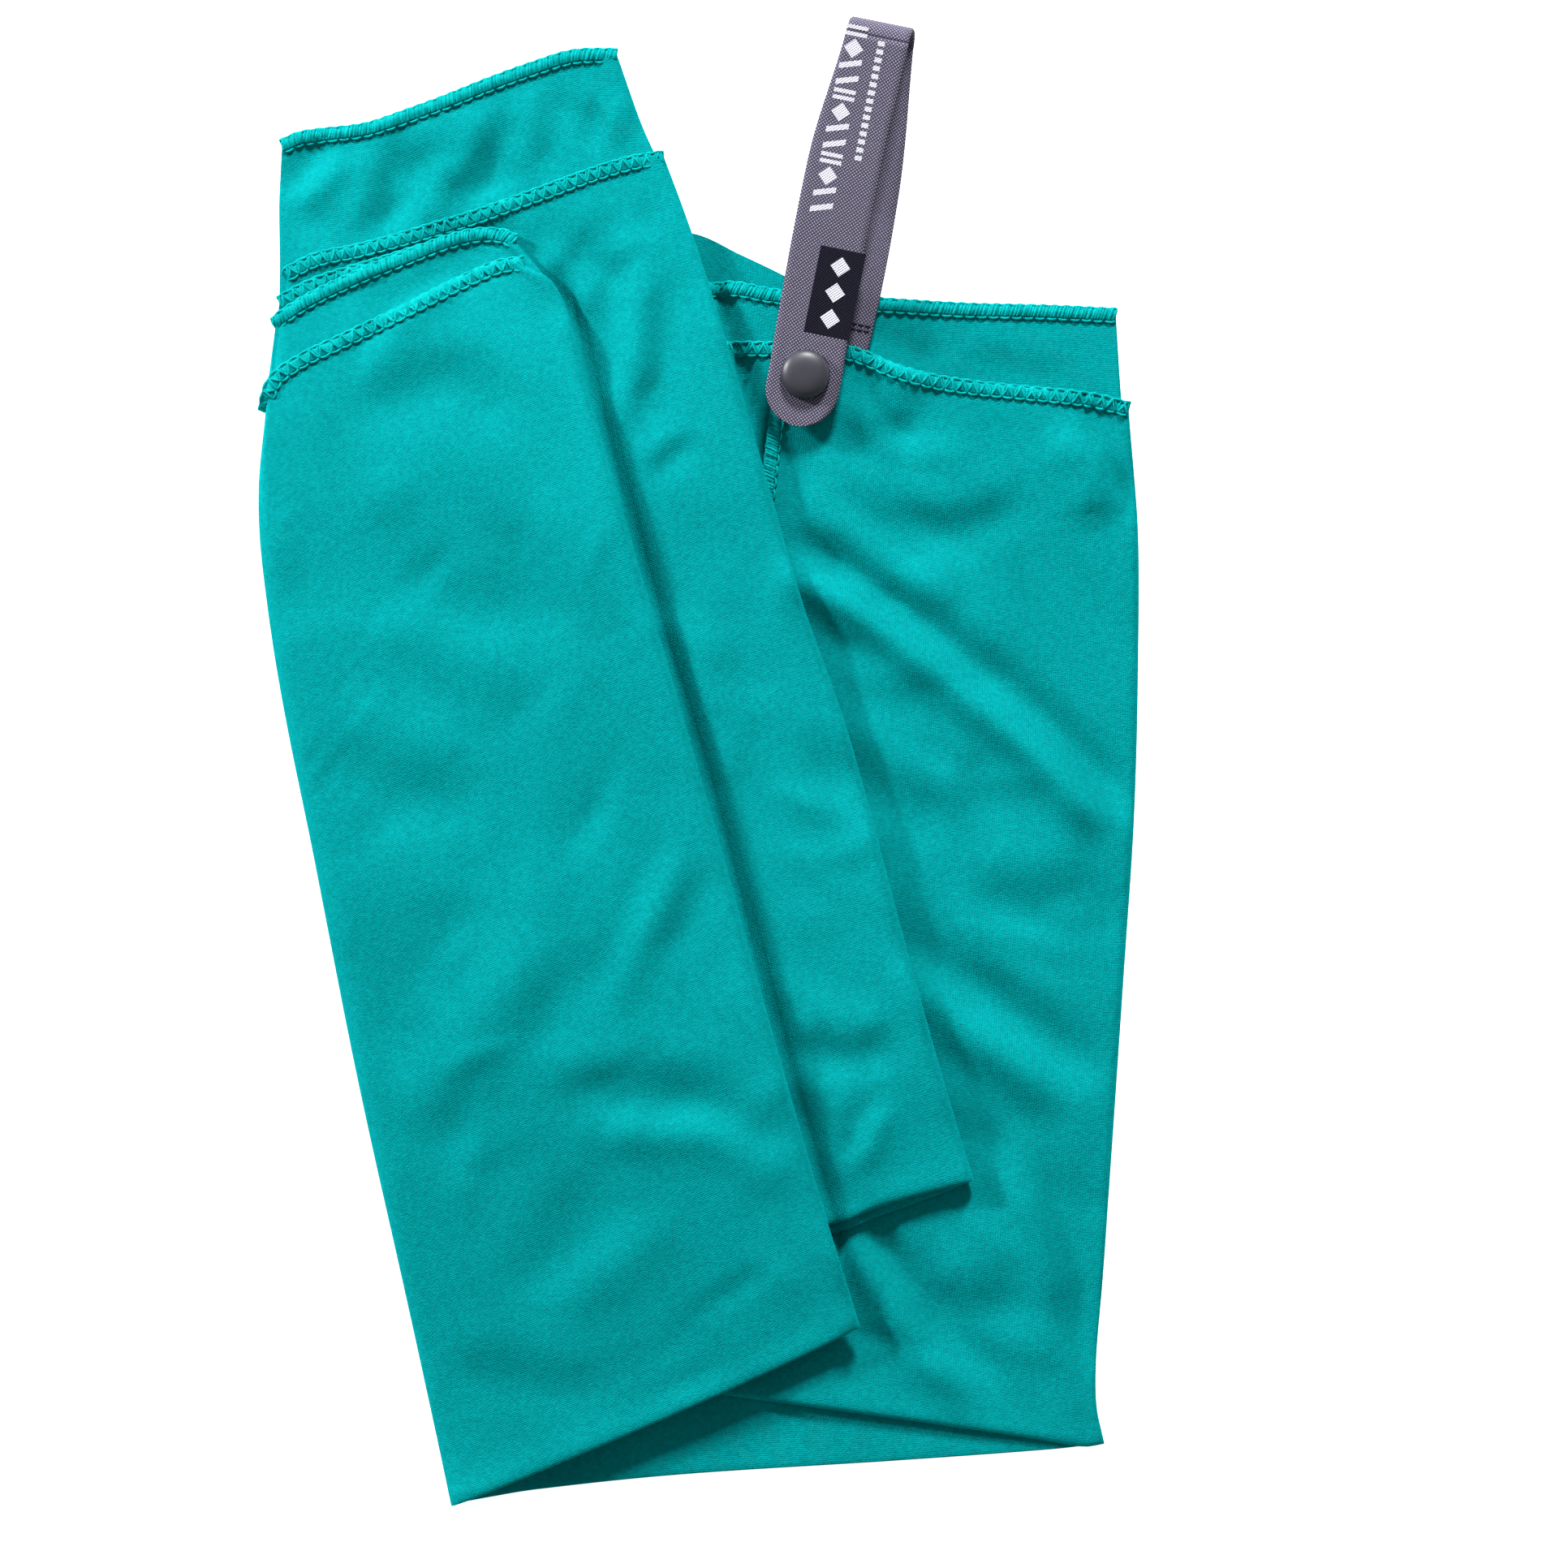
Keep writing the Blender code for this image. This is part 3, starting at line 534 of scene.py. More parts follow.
def weld(verts, faces, coords):
    """Join coincident vertices; each corner keeps its own cloth coordinate."""
    keys = np.round(verts / 0.02).astype(np.int64)
    _, first, inverse = np.unique(keys, axis=0, return_index=True, return_inverse=True)
    inverse = inverse.reshape(-1)
    return verts[first], inverse[faces], coords[faces]


def link_object(name, data):
    made = bpy.data.objects.new(name, data)
    bpy.context.scene.collection.objects.link(made)
    return made


def make_mesh(name, verts, faces, loop_coords=None, smooth_shading=True):
    """An object from millimetres, with a cloth coordinate for each face corner."""
    mesh = bpy.data.meshes.new(name)
    mesh.from_pydata((np.asarray(verts) * MM).tolist(), [], [list(f) for f in faces])
    if loop_coords is not None:
        layer = mesh.uv_layers.new(name="cloth")
        layer.data.foreach_set("uv", (np.asarray(loop_coords) * MM).reshape(-1).astype(np.float32))
    if smooth_shading:
        mesh.shade_smooth()
    mesh.update()
    return link_object(name, mesh)


def vertex_normals(verts, faces):
    a, b, c, d = (verts[faces[:, k]] for k in range(4))
    normal = np.cross(c - a, d - b)
    total = np.zeros_like(verts)
    for k in range(4):
        np.add.at(total, faces[:, k], normal)
    length = np.linalg.norm(total, axis=1, keepdims=True)
    return total / np.maximum(length, 1e-12)


TURN_REACH = 12.0    # the left fold's own piece reaches this far in from the fold


def build_cloth(material):
    """The towel as three pieces: what stays, what opens, and the turn between them."""
    leaves = build_leaves()
    verts, faces, coords, owners = cloth_parts(leaves)
    centre = verts[faces].mean(1)
    verts, faces, loops = weld(verts, faces, coords)
    keep = np.array([len(set(f)) == 4 for f in faces.tolist()])
    faces, loops, owners, centre = faces[keep], loops[keep], owners[keep], centre[keep]
    normals = vertex_normals(verts, faces)
    names = list(LEVELS)
    edge = along(LEFT_FOLD_BACK, np.linspace(0, 1, 200))
    edge_x = np.interp(centre[:, 1], edge[:, 1], edge[:, 0])
    at_fold = np.isin(owners, [names.index("rear"), names.index("front")])
    is_turn = at_fold & (centre[:, 0] < edge_x + TURN_REACH)
    is_flap = np.isin(owners, [names.index(n) for n in FLAP]) & ~is_turn
    made = {}
    parts = (("towel_cloth", ~is_turn & ~is_flap), ("flap_cloth", is_flap), ("left_fold_cloth", is_turn))
    for name, chosen in parts:
        used, local = np.unique(faces[chosen], return_inverse=True)
        piece = make_mesh(name, verts[used], local.reshape(-1, 4), loops[chosen])
        piece.data.normals_split_custom_set_from_vertices(normals[used].tolist())
        piece.data.materials.append(material)
        made[name] = piece
    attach(made["towel_cloth"], "towel")
    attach(made["flap_cloth"], "flap")
    blend_turn(made["left_fold_cloth"])
    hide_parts("rear_panel", "right_panel_back", "right_panel_front")
    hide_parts("front_panel", "front_return_panel", "middle_panel",
                "middle_return_panel", "inner_return_panel", "inner_panel")
    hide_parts("left_fold")
    return made


def blend_turn(piece):
    """Cloth that wraps the pile's left side: its transform is baked into its mesh, and it is attached to
    neither body.
    """
    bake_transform(piece)


# ---------------------------------------------------------------- materials

def shader_nodes(name, colour, roughness, sheen=0.0, sheen_tint=(1, 1, 1, 1)):
    made = bpy.data.materials.new(name)
    made.use_nodes = True
    tree = made.node_tree
    shader = tree.nodes["Principled BSDF"]
    shader.inputs["Base Color"].default_value = colour
    shader.inputs["Roughness"].default_value = roughness
    shader.inputs["Sheen Weight"].default_value = sheen
    shader.inputs["Sheen Roughness"].default_value = 0.28
    shader.inputs["Sheen Tint"].default_value = sheen_tint
    shader.inputs["Specular IOR Level"].default_value = 0.0
    return made, tree, shader


def add(tree, kind, inputs=None, **settings):
    node = tree.nodes.new(kind)
    for key, value in settings.items():
        setattr(node, key, value)
    for key, value in (inputs or {}).items():
        if isinstance(value, bpy.types.NodeSocket):
            tree.links.new(value, node.inputs[key])
        else:
            node.inputs[key].default_value = value
    return node


def noise(tree, space, scale, detail, **more):
    inputs = {"Vector": space, "Scale": scale, "Detail": detail, **more}
    return add(tree, "ShaderNodeTexNoise", inputs).outputs[0]


def remap(tree, value, low, high, ends="From"):
    inputs = {"Value": value, ends + " Min": low, ends + " Max": high}
    return add(tree, "ShaderNodeMapRange", inputs).outputs[0]


def maths(tree, operation, a, b=0.0):
    return add(tree, "ShaderNodeMath", {0: a, 1: b}, operation=operation).outputs[0]


def mix_colour(tree, factor, a, b):
    node = add(tree, "ShaderNodeMix", data_type="RGBA")
    for socket, value in ((node.inputs[0], factor), (node.inputs[6], a), (node.inputs[7], b)):
        if isinstance(value, bpy.types.NodeSocket):
            tree.links.new(value, socket)
        else:
            socket.default_value = value
    return node.outputs[2]


def bump(tree, shader, height_socket, strength, distance):
    node = add(tree, "ShaderNodeBump", {"Height": height_socket, "Strength": strength, "Distance": distance})
    tree.links.new(node.outputs[0], shader.inputs["Normal"])


def cloth_material():
    """Brushed microfibre knit: fine ribs along the towel, soft nap and faint mottling."""
    colour = (0.0014, 0.235, 0.243, 1.0)
    made, tree, shader = shader_nodes("microfibre_knit", colour, 0.95, 0.5, (0.0, 0.70, 0.73, 1.0))
    coords = add(tree, "ShaderNodeUVMap", uv_map="cloth").outputs[0]
    space = add(tree, "ShaderNodeTexCoord").outputs["Object"]
    split = add(tree, "ShaderNodeSeparateXYZ", {0: coords})
    rib_pitch = 0.00042
    rib = maths(tree, "SINE", maths(tree, "MULTIPLY", split.outputs[1], 2 * math.pi / rib_pitch))
    stitch = maths(tree, "SINE", maths(tree, "MULTIPLY", split.outputs[0], 2 * math.pi / (rib_pitch * 1.3)))
    nap = noise(tree, space, 2600.0, 3.0, Roughness=0.6)
    grain = noise(tree, space, 900.0, 2.0)
    patches = noise(tree, space, 38.0, 3.0)
    knit = maths(tree, "ADD", maths(tree, "MULTIPLY", rib, 0.13), maths(tree, "MULTIPLY", stitch, 0.13))
    relief = maths(tree, "ADD", knit, maths(tree, "MULTIPLY", nap, 1.6))
    tone = maths(tree, "ADD", maths(tree, "MULTIPLY", grain, 0.55), maths(tree, "MULTIPLY", patches, 0.35))
    tone = maths(tree, "ADD", tone, maths(tree, "MULTIPLY", knit, 0.10))
    shade = remap(tree, tone, 0.25, 0.65)
    mixed = mix_colour(tree, shade, (0.0009, 0.190, 0.198, 1), (0.0016, 0.298, 0.308, 1))
    tree.links.new(mixed, shader.inputs["Base Color"])
    bump(tree, shader, relief, 0.7, 0.00016)
    return made


def thread_material():
    """Woolly overlock yarn in the cloth's colour, a little lighter: partly the yarn's own tone, partly a
    painted highlight for the light its raised loops catch.
    """
    made, tree, shader = shader_nodes("overlock_yarn", (0.002, 0.27, 0.27, 1.0), 0.9, 0.12,
                                      (0.02, 0.8, 0.8, 1.0))
    space = add(tree, "ShaderNodeTexCoord").outputs["Object"]
    fibre = noise(tree, space, 5200.0, 3.0, Roughness=0.65)
    shade = remap(tree, noise(tree, space, 700.0, 2.0), 0.3, 0.7)
    # the lighter end of this mix is partly painted highlight on the raised yarn, partly the yarn's own tone
    mixed = mix_colour(tree, shade, (0.0014, 0.270, 0.272, 1), (0.003, 0.40, 0.40, 1))
    tree.links.new(mixed, shader.inputs["Base Color"])
    bump(tree, shader, fibre, 0.8, 0.0003)
    return made


def weave_relief(tree, coords, pitch):
    """Over and under of a plain weave, 0 to 1."""
    split = add(tree, "ShaderNodeSeparateXYZ", {0: coords})
    across = maths(tree, "SINE", maths(tree, "MULTIPLY", split.outputs[0], math.pi / pitch))
    down = maths(tree, "SINE", maths(tree, "MULTIPLY", split.outputs[1], math.pi / pitch))
    product = maths(tree, "MULTIPLY", across, down)
    return maths(tree, "ADD", maths(tree, "MULTIPLY", product, 0.5), 0.5)


def woven_material(name, dark, light, pitch=0.00042, speck=0.55):
    """Plain weave whose raised yarns catch more light than the gaps between them."""
    made, tree, shader = shader_nodes(name, dark, 0.75, 0.1)
    coords = add(tree, "ShaderNodeUVMap", uv_map="cloth").outputs[0]
    weave = weave_relief(tree, coords, pitch)
    space = add(tree, "ShaderNodeTexCoord").outputs["Object"]
    grain = maths(tree, "MULTIPLY", noise(tree, space, 1500.0, 2.0), 0.8)
    peak = remap(tree, weave, 0.55, 0.95)
    share = maths(tree, "MULTIPLY", peak, maths(tree, "ADD", grain, speck - 0.3))
    tree.links.new(mix_colour(tree, share, dark, light), shader.inputs["Base Color"])
    bump(tree, shader, weave, 0.9, 0.00016)
    return made


def plastic_material():
    """Matte moulded resin with a very fine grain."""
    made, tree, shader = shader_nodes("snap_resin", (0.030, 0.030, 0.041, 1.0), 0.42)
    shader.inputs["Specular IOR Level"].default_value = 0.5
    space = add(tree, "ShaderNodeTexCoord").outputs["Object"]
    grain = noise(tree, space, 3500.0, 2.0)
    rough = remap(tree, noise(tree, space, 300.0, 2.0), 0.36, 0.5, ends="To")
    tree.links.new(rough, shader.inputs["Roughness"])
    bump(tree, shader, grain, 0.15, 0.00006)
    return made


# ---------------------------------------------------------------- overlocked edges

def tube_faces(count, sides, start=0):
    """Faces of a tube made of rings that follow each other, with its two ends."""
    index = start + np.arange(count * sides).reshape(count, sides)
    after = np.roll(index, -1, axis=1)
    quads = np.stack([index[:-1], after[:-1], after[1:], index[1:]], -1).reshape(-1, 4)
    return quads[:, ::-1].tolist() + [index[0].tolist(), index[-1][::-1].tolist()]


class Tubes:
    """Collects tubes along lines into one mesh."""

    def __init__(self, sides=7):
        self.sides = sides
        self.verts = []
        self.faces = []
        self.count = 0

    def add(self, line, radius, flatten=1.0, up=(0.0, 0.0, 1.0)):
        line = np.asarray(line, float)
        tangent = np.gradient(line, axis=0)
        tangent /= np.maximum(np.linalg.norm(tangent, axis=1, keepdims=True), 1e-9)
        up = np.broadcast_to(np.asarray(up, float), line.shape)
        side = np.cross(tangent, up)
        weak = np.linalg.norm(side, axis=1) < 0.2
        side[weak] = np.cross(tangent[weak], np.array([1.0, 0.2, 0.0]))
        side /= np.linalg.norm(side, axis=1, keepdims=True)
        lift = np.cross(side, tangent)
        angle = np.linspace(0, 2 * math.pi, self.sides, endpoint=False)
        radius = np.broadcast_to(np.asarray(radius, float), (len(line),))[:, None, None]
        wide, high = np.cos(angle)[None, :, None], flatten * np.sin(angle)[None, :, None]
        ring = wide * side[:, None] + high * lift[:, None]
        self.verts.append((line[:, None] + radius * ring).reshape(-1, 3))
        self.faces += tube_faces(len(line), self.sides, self.count)
        self.count += len(line) * self.sides

    def build(self, name, material):
        made = make_mesh(name, np.vstack(self.verts), self.faces)
        made.data.materials.append(material)
        return made


STITCH = 2.7          # length of one overlock stitch
SEAM_WIDTH = 3.5
PRESSED = 0.4         # what the rear hem keeps of its thickness under the pile
# Yarns of one stitch as (share of the stitch, distance from the edge, lift)
WRAPS = [((start - 0.05, 3.0, 0.36), (start + 0.12, 1.7, 0.66), (start + 0.30, 0.25, 0.32))
         for start in (0.0, 0.26, 0.5, 0.74)]
RUNGS = [((0.02, 3.1, 0.30), (0.30, 1.9, 0.52), (0.52, 0.5, 0.42)),
         ((0.48, 0.5, 0.42), (0.72, 1.9, 0.52), (0.98, 3.1, 0.30)),
         ((0.12, 2.9, 0.20), (0.16, 1.8, 0.40), (0.30, 0.5, 0.36)),
         ((0.70, 0.5, 0.36), (0.84, 1.8, 0.40), (0.88, 2.9, 0.20))]
OVERLOCK = {"wrap": (WRAPS, 0.37), "ladder": (RUNGS, 0.25)}    # a side's yarns and their radius
YARN_POINTS = 8       # points along one yarn of a stitch


def hem_frame(edge, at, partners, bulk):
    """A function from (run, inset, lift) beside a hem to a place, and the hem's length.

    partners are the levels that the hem's cloth folds into at both ends, or None at a cut end. bulk is 1 for
    a hem that lies free and less for one that is pressed flat between leaves."""
    share = np.linspace(0, 1, 400)
    line = along(edge, share)
    run = run_along(line)
    tangent = tangents(line)
    inward = np.stack([tangent[:, 1], -tangent[:, 0]], -1)

    def place(points):
        points = np.asarray(points, float)
        s = np.clip(points[:, 0], 0, run[-1])
        inset = points[:, 1] - SEAM_WIDTH / 2
        x = np.interp(s, run, line[:, 0]) + inset * np.interp(s, run, inward[:, 0])
        y = np.interp(s, run, line[:, 1]) + inset * np.interp(s, run, inward[:, 1])
        z = height(x, y, at)
        for partner, distance in zip(partners, (s, run[-1] - s)):
            if partner is not None:
                middle = (height(x, y, at) + height(x, y, partner)) / 2
                z = middle + (z - middle) * roundness(distance + 0.3, 0.9 * np.abs(z - middle) + 0.5)
        return np.stack([x, y, z + bulk * points[:, 2]], -1)

    return place, run[-1]


def overlock(tubes, edge, at, face, seed, partners, bulk):
    """Stitches of an overlocked edge. face is ladder, the needle side, or wrap, the looper side."""
    place, length = hem_frame(edge, at, partners, bulk)
    rng = np.random.default_rng(seed)
    count = max(2, int(round(length / STITCH)))
    pitch = length / count
    base = [(s, 1.7, 0.05) for s in np.linspace(0.0, length, count * 2)]
    tubes.add(place(base), 1.62, flatten=bulk * (0.42 if face == "wrap" else 0.24))
    rope = []
    for k in range(count * 8 + 1):
        turn = 2 * math.pi * k / 8
        rope.append((pitch * k / 8, 0.36 + 0.10 * math.sin(turn + seed), 0.30 + 0.10 * math.cos(turn)))
    tubes.add(place(rope), 0.36, flatten=0.85 * bulk)
    chain = []
    for k in range(count * 10 + 1):
        phase = (k % 10) / 10
        bow = math.sin(math.pi * phase)
        chain.append((pitch * k / 10, SEAM_WIDTH - 0.45 + 0.42 * bow, 0.02 + 0.38 * bow ** 0.7))
    tubes.add(place(chain), 0.29, flatten=0.85 * bulk)
    rungs, thick = OVERLOCK[face]
    swell = thick * (0.85 + 0.25 * np.sin(np.linspace(0, math.pi, YARN_POINTS)))
    for k in range(count):
        shake = rng.uniform(-0.10, 0.10, (len(rungs), 2))
        for number, rung in enumerate(rungs):
            points = [(pitch * (k + a + shake[number, 0]), t, h + shake[number, 1]) for a, t, h in rung]
            line = along(points, np.linspace(0, 1, YARN_POINTS))
            line[:, 0] = np.clip(line[:, 0], 0.0, length)
            tubes.add(place(line), swell, flatten=0.75 * bulk)


# Overlocked edges: name, edge, panel, leaf, seen side, and the panels it folds into at its left and right end
SEAMS = [
    ("front_hem_front", FRONT_HEM, "front", "front", "ladder", ("rear", "front_return")),
    ("front_hem_back", FRONT_HEM_BACK, "front", "back", "wrap", ("rear", "front_return")),
    ("return_hem", RETURN_HEM_BACK, "front_return", "back", "ladder", (None, "front")),
    ("middle_hem_front", MIDDLE_HEM, "middle", "front", "ladder", ("middle_return", "middle_return")),
    ("middle_hem_back", MIDDLE_HEM_BACK, "middle", "back", "wrap", ("middle_return", "middle_return")),
    ("inner_hem_front", INNER_HEM, "inner_return", "front", "ladder", ("inner", "inner")),
    ("inner_hem_back", INNER_HEM_BACK, "inner_return", "back", "wrap", ("inner", "inner")),
    ("right_hem_front", RIGHT_HEM, "right", "front", "ladder", (None, "rear")),
    ("right_hem_back", RIGHT_HEM_BACK, "right", "back", "wrap", (None, "rear")),
    ("end_hem", END_EDGE, "right", "front", "wrap", (None, None)),
    ("rear_hem", along(REAR_HEM, np.linspace(0.06, 1, 16)), "rear", "front", "ladder", (None, "right")),
]


def build_hems(material):
    """One piece of thread for each overlocked edge, in two lists: on the towel and on the flap."""
    made = {"towel": [], "flap": []}
    for number, (name, edge, panel, side, face, folds_into) in enumerate(SEAMS):
        tubes = Tubes()
        partners = [None if other is None else LEVELS[other][side] for other in folds_into]
        bulk = PRESSED if name == "rear_hem" else 1.0
        overlock(tubes, edge, LEVELS[panel][side], face, 11 + number, partners, bulk)
        piece = tubes.build(name + "_thread", material)
        body = "flap" if panel in FLAP else "towel"
        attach(piece, body)
        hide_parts(name)
        made[body].append(piece)
    return made


# ---------------------------------------------------------------- strap

STRAP_WIDTH = 16.7
TAPE = 0.75            # thickness of the doubled tape
TIP_LENGTH = 11.9      # from the snap's axis to the tape's round end
TIP_ROUND = 8.6        # length over which that end rounds off
BEND_BASE, BEND_TOP = (corner[2] for corner in node_box("loop_bend"))
BEND_MIDDLE = float((BEND_BASE + BEND_TOP) / 2)
BEND_RADIUS = float((BEND_TOP - BEND_BASE) / 2 - TAPE / 2)
SEWN_HEIGHT = LEVELS["right"]["front"] - 0.85
TAB_HEIGHT = float(node_box("loop_front_leg")[0][2] + TAPE / 2)


def strap_place(across, along_strap, up):
    """World place from strap coordinates measured from the snap's axis."""
    xy = SNAP[:2] + np.multiply.outer(along_strap, STRAP_ALONG) + np.multiply.outer(across, STRAP_ACROSS)
    return np.concatenate([xy, np.asarray(up)[..., None]], -1)


def front_leg_line():
    """(along, up, shift across) of the front leg, from its tip to the top of the bend."""
    tip = -TIP_LENGTH * np.cos(np.linspace(0.0, math.pi / 2, 24))
    reach = np.concatenate([tip, np.linspace(0.0, LOOP_REACH, 56)[1:]])
    sag = 0.35 * np.sin(math.pi * np.clip(reach / LOOP_REACH, 0, 1)) ** 2
    dip = 0.25 * np.exp(-((reach + 6.0) / 5.0) ** 2)
    bow = -0.9 * np.sin(math.pi * np.clip(reach / LOOP_REACH, 0, 1)) + 0.9 * smooth(50.0, LOOP_REACH, reach)
    return np.stack([reach, TAB_HEIGHT + sag - dip, bow], -1)


def bend_line():
    """The half ring that joins the two legs, from top to bottom."""
    angle = np.linspace(math.pi / 2, -math.pi / 2, 22)[1:-1]
    return np.stack([LOOP_REACH + BEND_RADIUS * np.cos(angle), BEND_MIDDLE + BEND_RADIUS * np.sin(angle),
                     0.9 + 1.3 * (1 - np.sin(angle)) / 2], -1)


def back_leg_line():
    """The rear leg, from the bend down to where it is sewn on."""
    reach = np.linspace(LOOP_REACH, -3.0, 60)
    low = BEND_MIDDLE - BEND_RADIUS
    up = low + (SEWN_HEIGHT - low) * smooth(42.0, 19.0, reach)
    share = np.clip(reach / LOOP_REACH, 0, 1)
    shift = 2.2 + 2.7 * np.sin(math.pi * (1 - share) * 0.75)
    return np.stack([reach, up, shift], -1)


def tip_half_width(reach):
    """Half the tape's width near its rounded tip."""
    inside = np.clip((reach + TIP_LENGTH) / TIP_ROUND, 0.0, 1.0)
    return STRAP_WIDTH / 2 * np.sqrt(np.maximum(1 - (1 - inside) ** 2, 0.0))


def ribbon(name, line, material, rounded=False, columns=13):
    """A tape with soft edges along (along, up, shift) points."""
    count = len(line)
    run = run_along(line[:, :2])
    tangent = tangents(line[:, :2])
    normal = np.stack([-tangent[:, 1], tangent[:, 0]], -1)
    half = tip_half_width(line[:, 0]) if rounded else np.full(count, STRAP_WIDTH / 2)
    half = half * (1 - 0.13 * smooth(46.0, LOOP_REACH + 4.0, line[:, 0]))
    share = np.linspace(-1, 1, columns)
    share = np.sign(share) * (1 - (1 - np.abs(share)) ** 1.6)
    edge = TAPE / 2 * np.sqrt(np.clip(1 - np.maximum(0, np.abs(share) - 0.955) ** 2 / 0.045 ** 2, 0.02, 1))
    ring_across = np.concatenate([share, share[::-1]])
    ring_lift = np.concatenate([edge, -edge])
    across = half[:, None] * ring_across[None] + line[:, 2][:, None]
    reach = line[:, 0][:, None] + normal[:, 0][:, None] * ring_lift[None]
    up = line[:, 1][:, None] + normal[:, 1][:, None] * ring_lift[None]
    verts = strap_place(across, reach, up)
    sides = len(ring_across)
    coords = np.stack([across, np.repeat(run[:, None], sides, 1)], -1).reshape(-1, 2)
    faces = tube_faces(count, sides)
    flat = [c for f in faces for c in coords[f].tolist()]
    piece = make_mesh(name, verts.reshape(-1, 3), faces, flat)
    piece.data.materials.append(material)
    return piece


def surface_of_front_leg(reach):
    """Height of the front leg's outer face."""
    line = front_leg_line()
    return np.interp(reach, line[:, 0], line[:, 1]) + TAPE / 2


def plate(name, outlines, material, lift):
    """Thin woven shapes on the front leg's outer face, from outlines of (across, along) points."""
    verts, faces, coords = [], [], []
    for outline in outlines:
        points = np.asarray(outline, float)
        surface = surface_of_front_leg(points[:, 1])
        top = strap_place(points[:, 0], points[:, 1], surface + lift)
        base = strap_place(points[:, 0], points[:, 1], surface - 0.05)
        start = len(verts)
        count = len(points)
        verts += top.tolist() + base.tolist()
        coords += points.tolist() * 2
        faces.append([start + k for k in range(count)])
        for k in range(count):
            after = (k + 1) % count
            faces.append([start + after, start + k, start + count + k, start + count + after])
    flat = [coords[k] for f in faces for k in f]
    piece = make_mesh(name, verts, faces, flat, smooth_shading=False)
    piece.data.materials.append(material)
    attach(piece, "tab")


def band(across_low, across_high, along_low, along_high, slant=0.0, steps=2):
    """A slanted bar as an outline, split along the strap so that it follows the tape."""
    low = np.linspace(along_low, along_high, steps)
    left = [(across_low, y) for y in low]
    right = [(across_high, y + slant) for y in low]
    return left[::-1] + right


def build_strap(strap, white, black, thread):
    """The loop's tape in three pieces, its woven marks and its bar tack."""
    front = ribbon("loop_front_tape", front_leg_line(), strap, rounded=True)
    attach(front, "tab")
    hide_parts("loop_front_leg")
    bend_with_ends = np.vstack([front_leg_line()[-1:], bend_line(), back_leg_line()[:1]])
    bend = ribbon("loop_bend_tape", bend_with_ends, strap)
    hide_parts("loop_bend")
    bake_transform(bend)
    back = ribbon("loop_back_tape", back_leg_line(), strap)
    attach(back, "towel")
    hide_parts("loop_back_leg")
    marks = []
    for number, place in enumerate(np.arange(37.0, 78.0, 3.7)):
        if number % 4 == 2:
            marks.append(diamond(-3.9, place + 0.9, 2.2))
        elif number % 4 == 3:
            marks += [band(-6.4, -1.4, place, place + 0.9), band(-6.4, -1.4, place + 1.6, place + 2.5)]
        else:
            marks.append(band(-6.4, -1.4, place - 0.5, place + 0.8, 1.6))
    plate("strap_woven_marks", marks, white, 0.03)
    dashes = [band(1.3, 2.9, y, y + 1.1) for y in np.arange(50.0, 78.0, 1.9)]
    plate("strap_woven_dashes", dashes, white, 0.03)
    plate("strap_woven_block", [band(-2.3, 8.2, 9.5, 29.5, 0.0, 12)], black, 0.05)
    plate("strap_woven_diamonds", [diamond(3.0, centre, 2.3) for centre in (13.5, 19.5, 25.5)], white, 0.09)
    build_tack(thread)


def diamond(across, reach, size):
    return [(across - size, reach), (across, reach + size), (across + size, reach), (across, reach - size)]


def build_tack(thread):
    """Stitches that hold the sewn leg of the loop to the towel's corner."""
    tubes = Tubes()
    line = back_leg_line()[::-1]
    for reach in (12.9, 14.1):
        top = float(np.interp(reach, line[:, 0], line[:, 1])) + TAPE / 2
        shift = float(np.interp(reach, line[:, 0], line[:, 2]))
        for across in np.arange(-6.4, 6.5, 1.6):
            share = np.linspace(0, 1, 7)
            arch = top + 0.18 * np.sin(math.pi * share)
            tubes.add(strap_place(shift + across + 1.25 * share, np.full(7, reach), arch), 0.2)
    piece = tubes.build("loop_tack_stitches", thread)
    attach(piece, "towel")
    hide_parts("loop_bar_tack")


# ---------------------------------------------------------------- snap

def turned(name, profile, material, body, node, sides=96):
    """A round piece on the snap's axis from (radius, height) points, from its lower to its upper end."""
    verts, faces = [], []
    for radius, up in profile:
        for step in range(sides):
            angle = 2 * math.pi * step / sides
            verts.append((SNAP[0] + radius * math.cos(angle), SNAP[1] + radius * math.sin(angle), up))
    closed = profile[0][0] > 0.05
    count = len(profile)
    for k in range(count if closed else count - 1):
        for step in range(sides):
            after = (step + 1) % sides
            upper = (k + 1) % count
            faces.append((k * sides + step, k * sides + after, upper * sides + after, upper * sides + step))
    piece = make_mesh(name, verts, faces)
    piece.data.set_sharp_from_angle(angle=math.radians(50))
    piece.data.materials.append(material)
    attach(piece, body)
    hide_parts(node)


def round_size(node):
    """Radius, lowest and highest level of a round CAD node."""
    low, high = node_box(node)
    return float(high[0] - low[0]) / 2, float(low[2]), float(high[2])


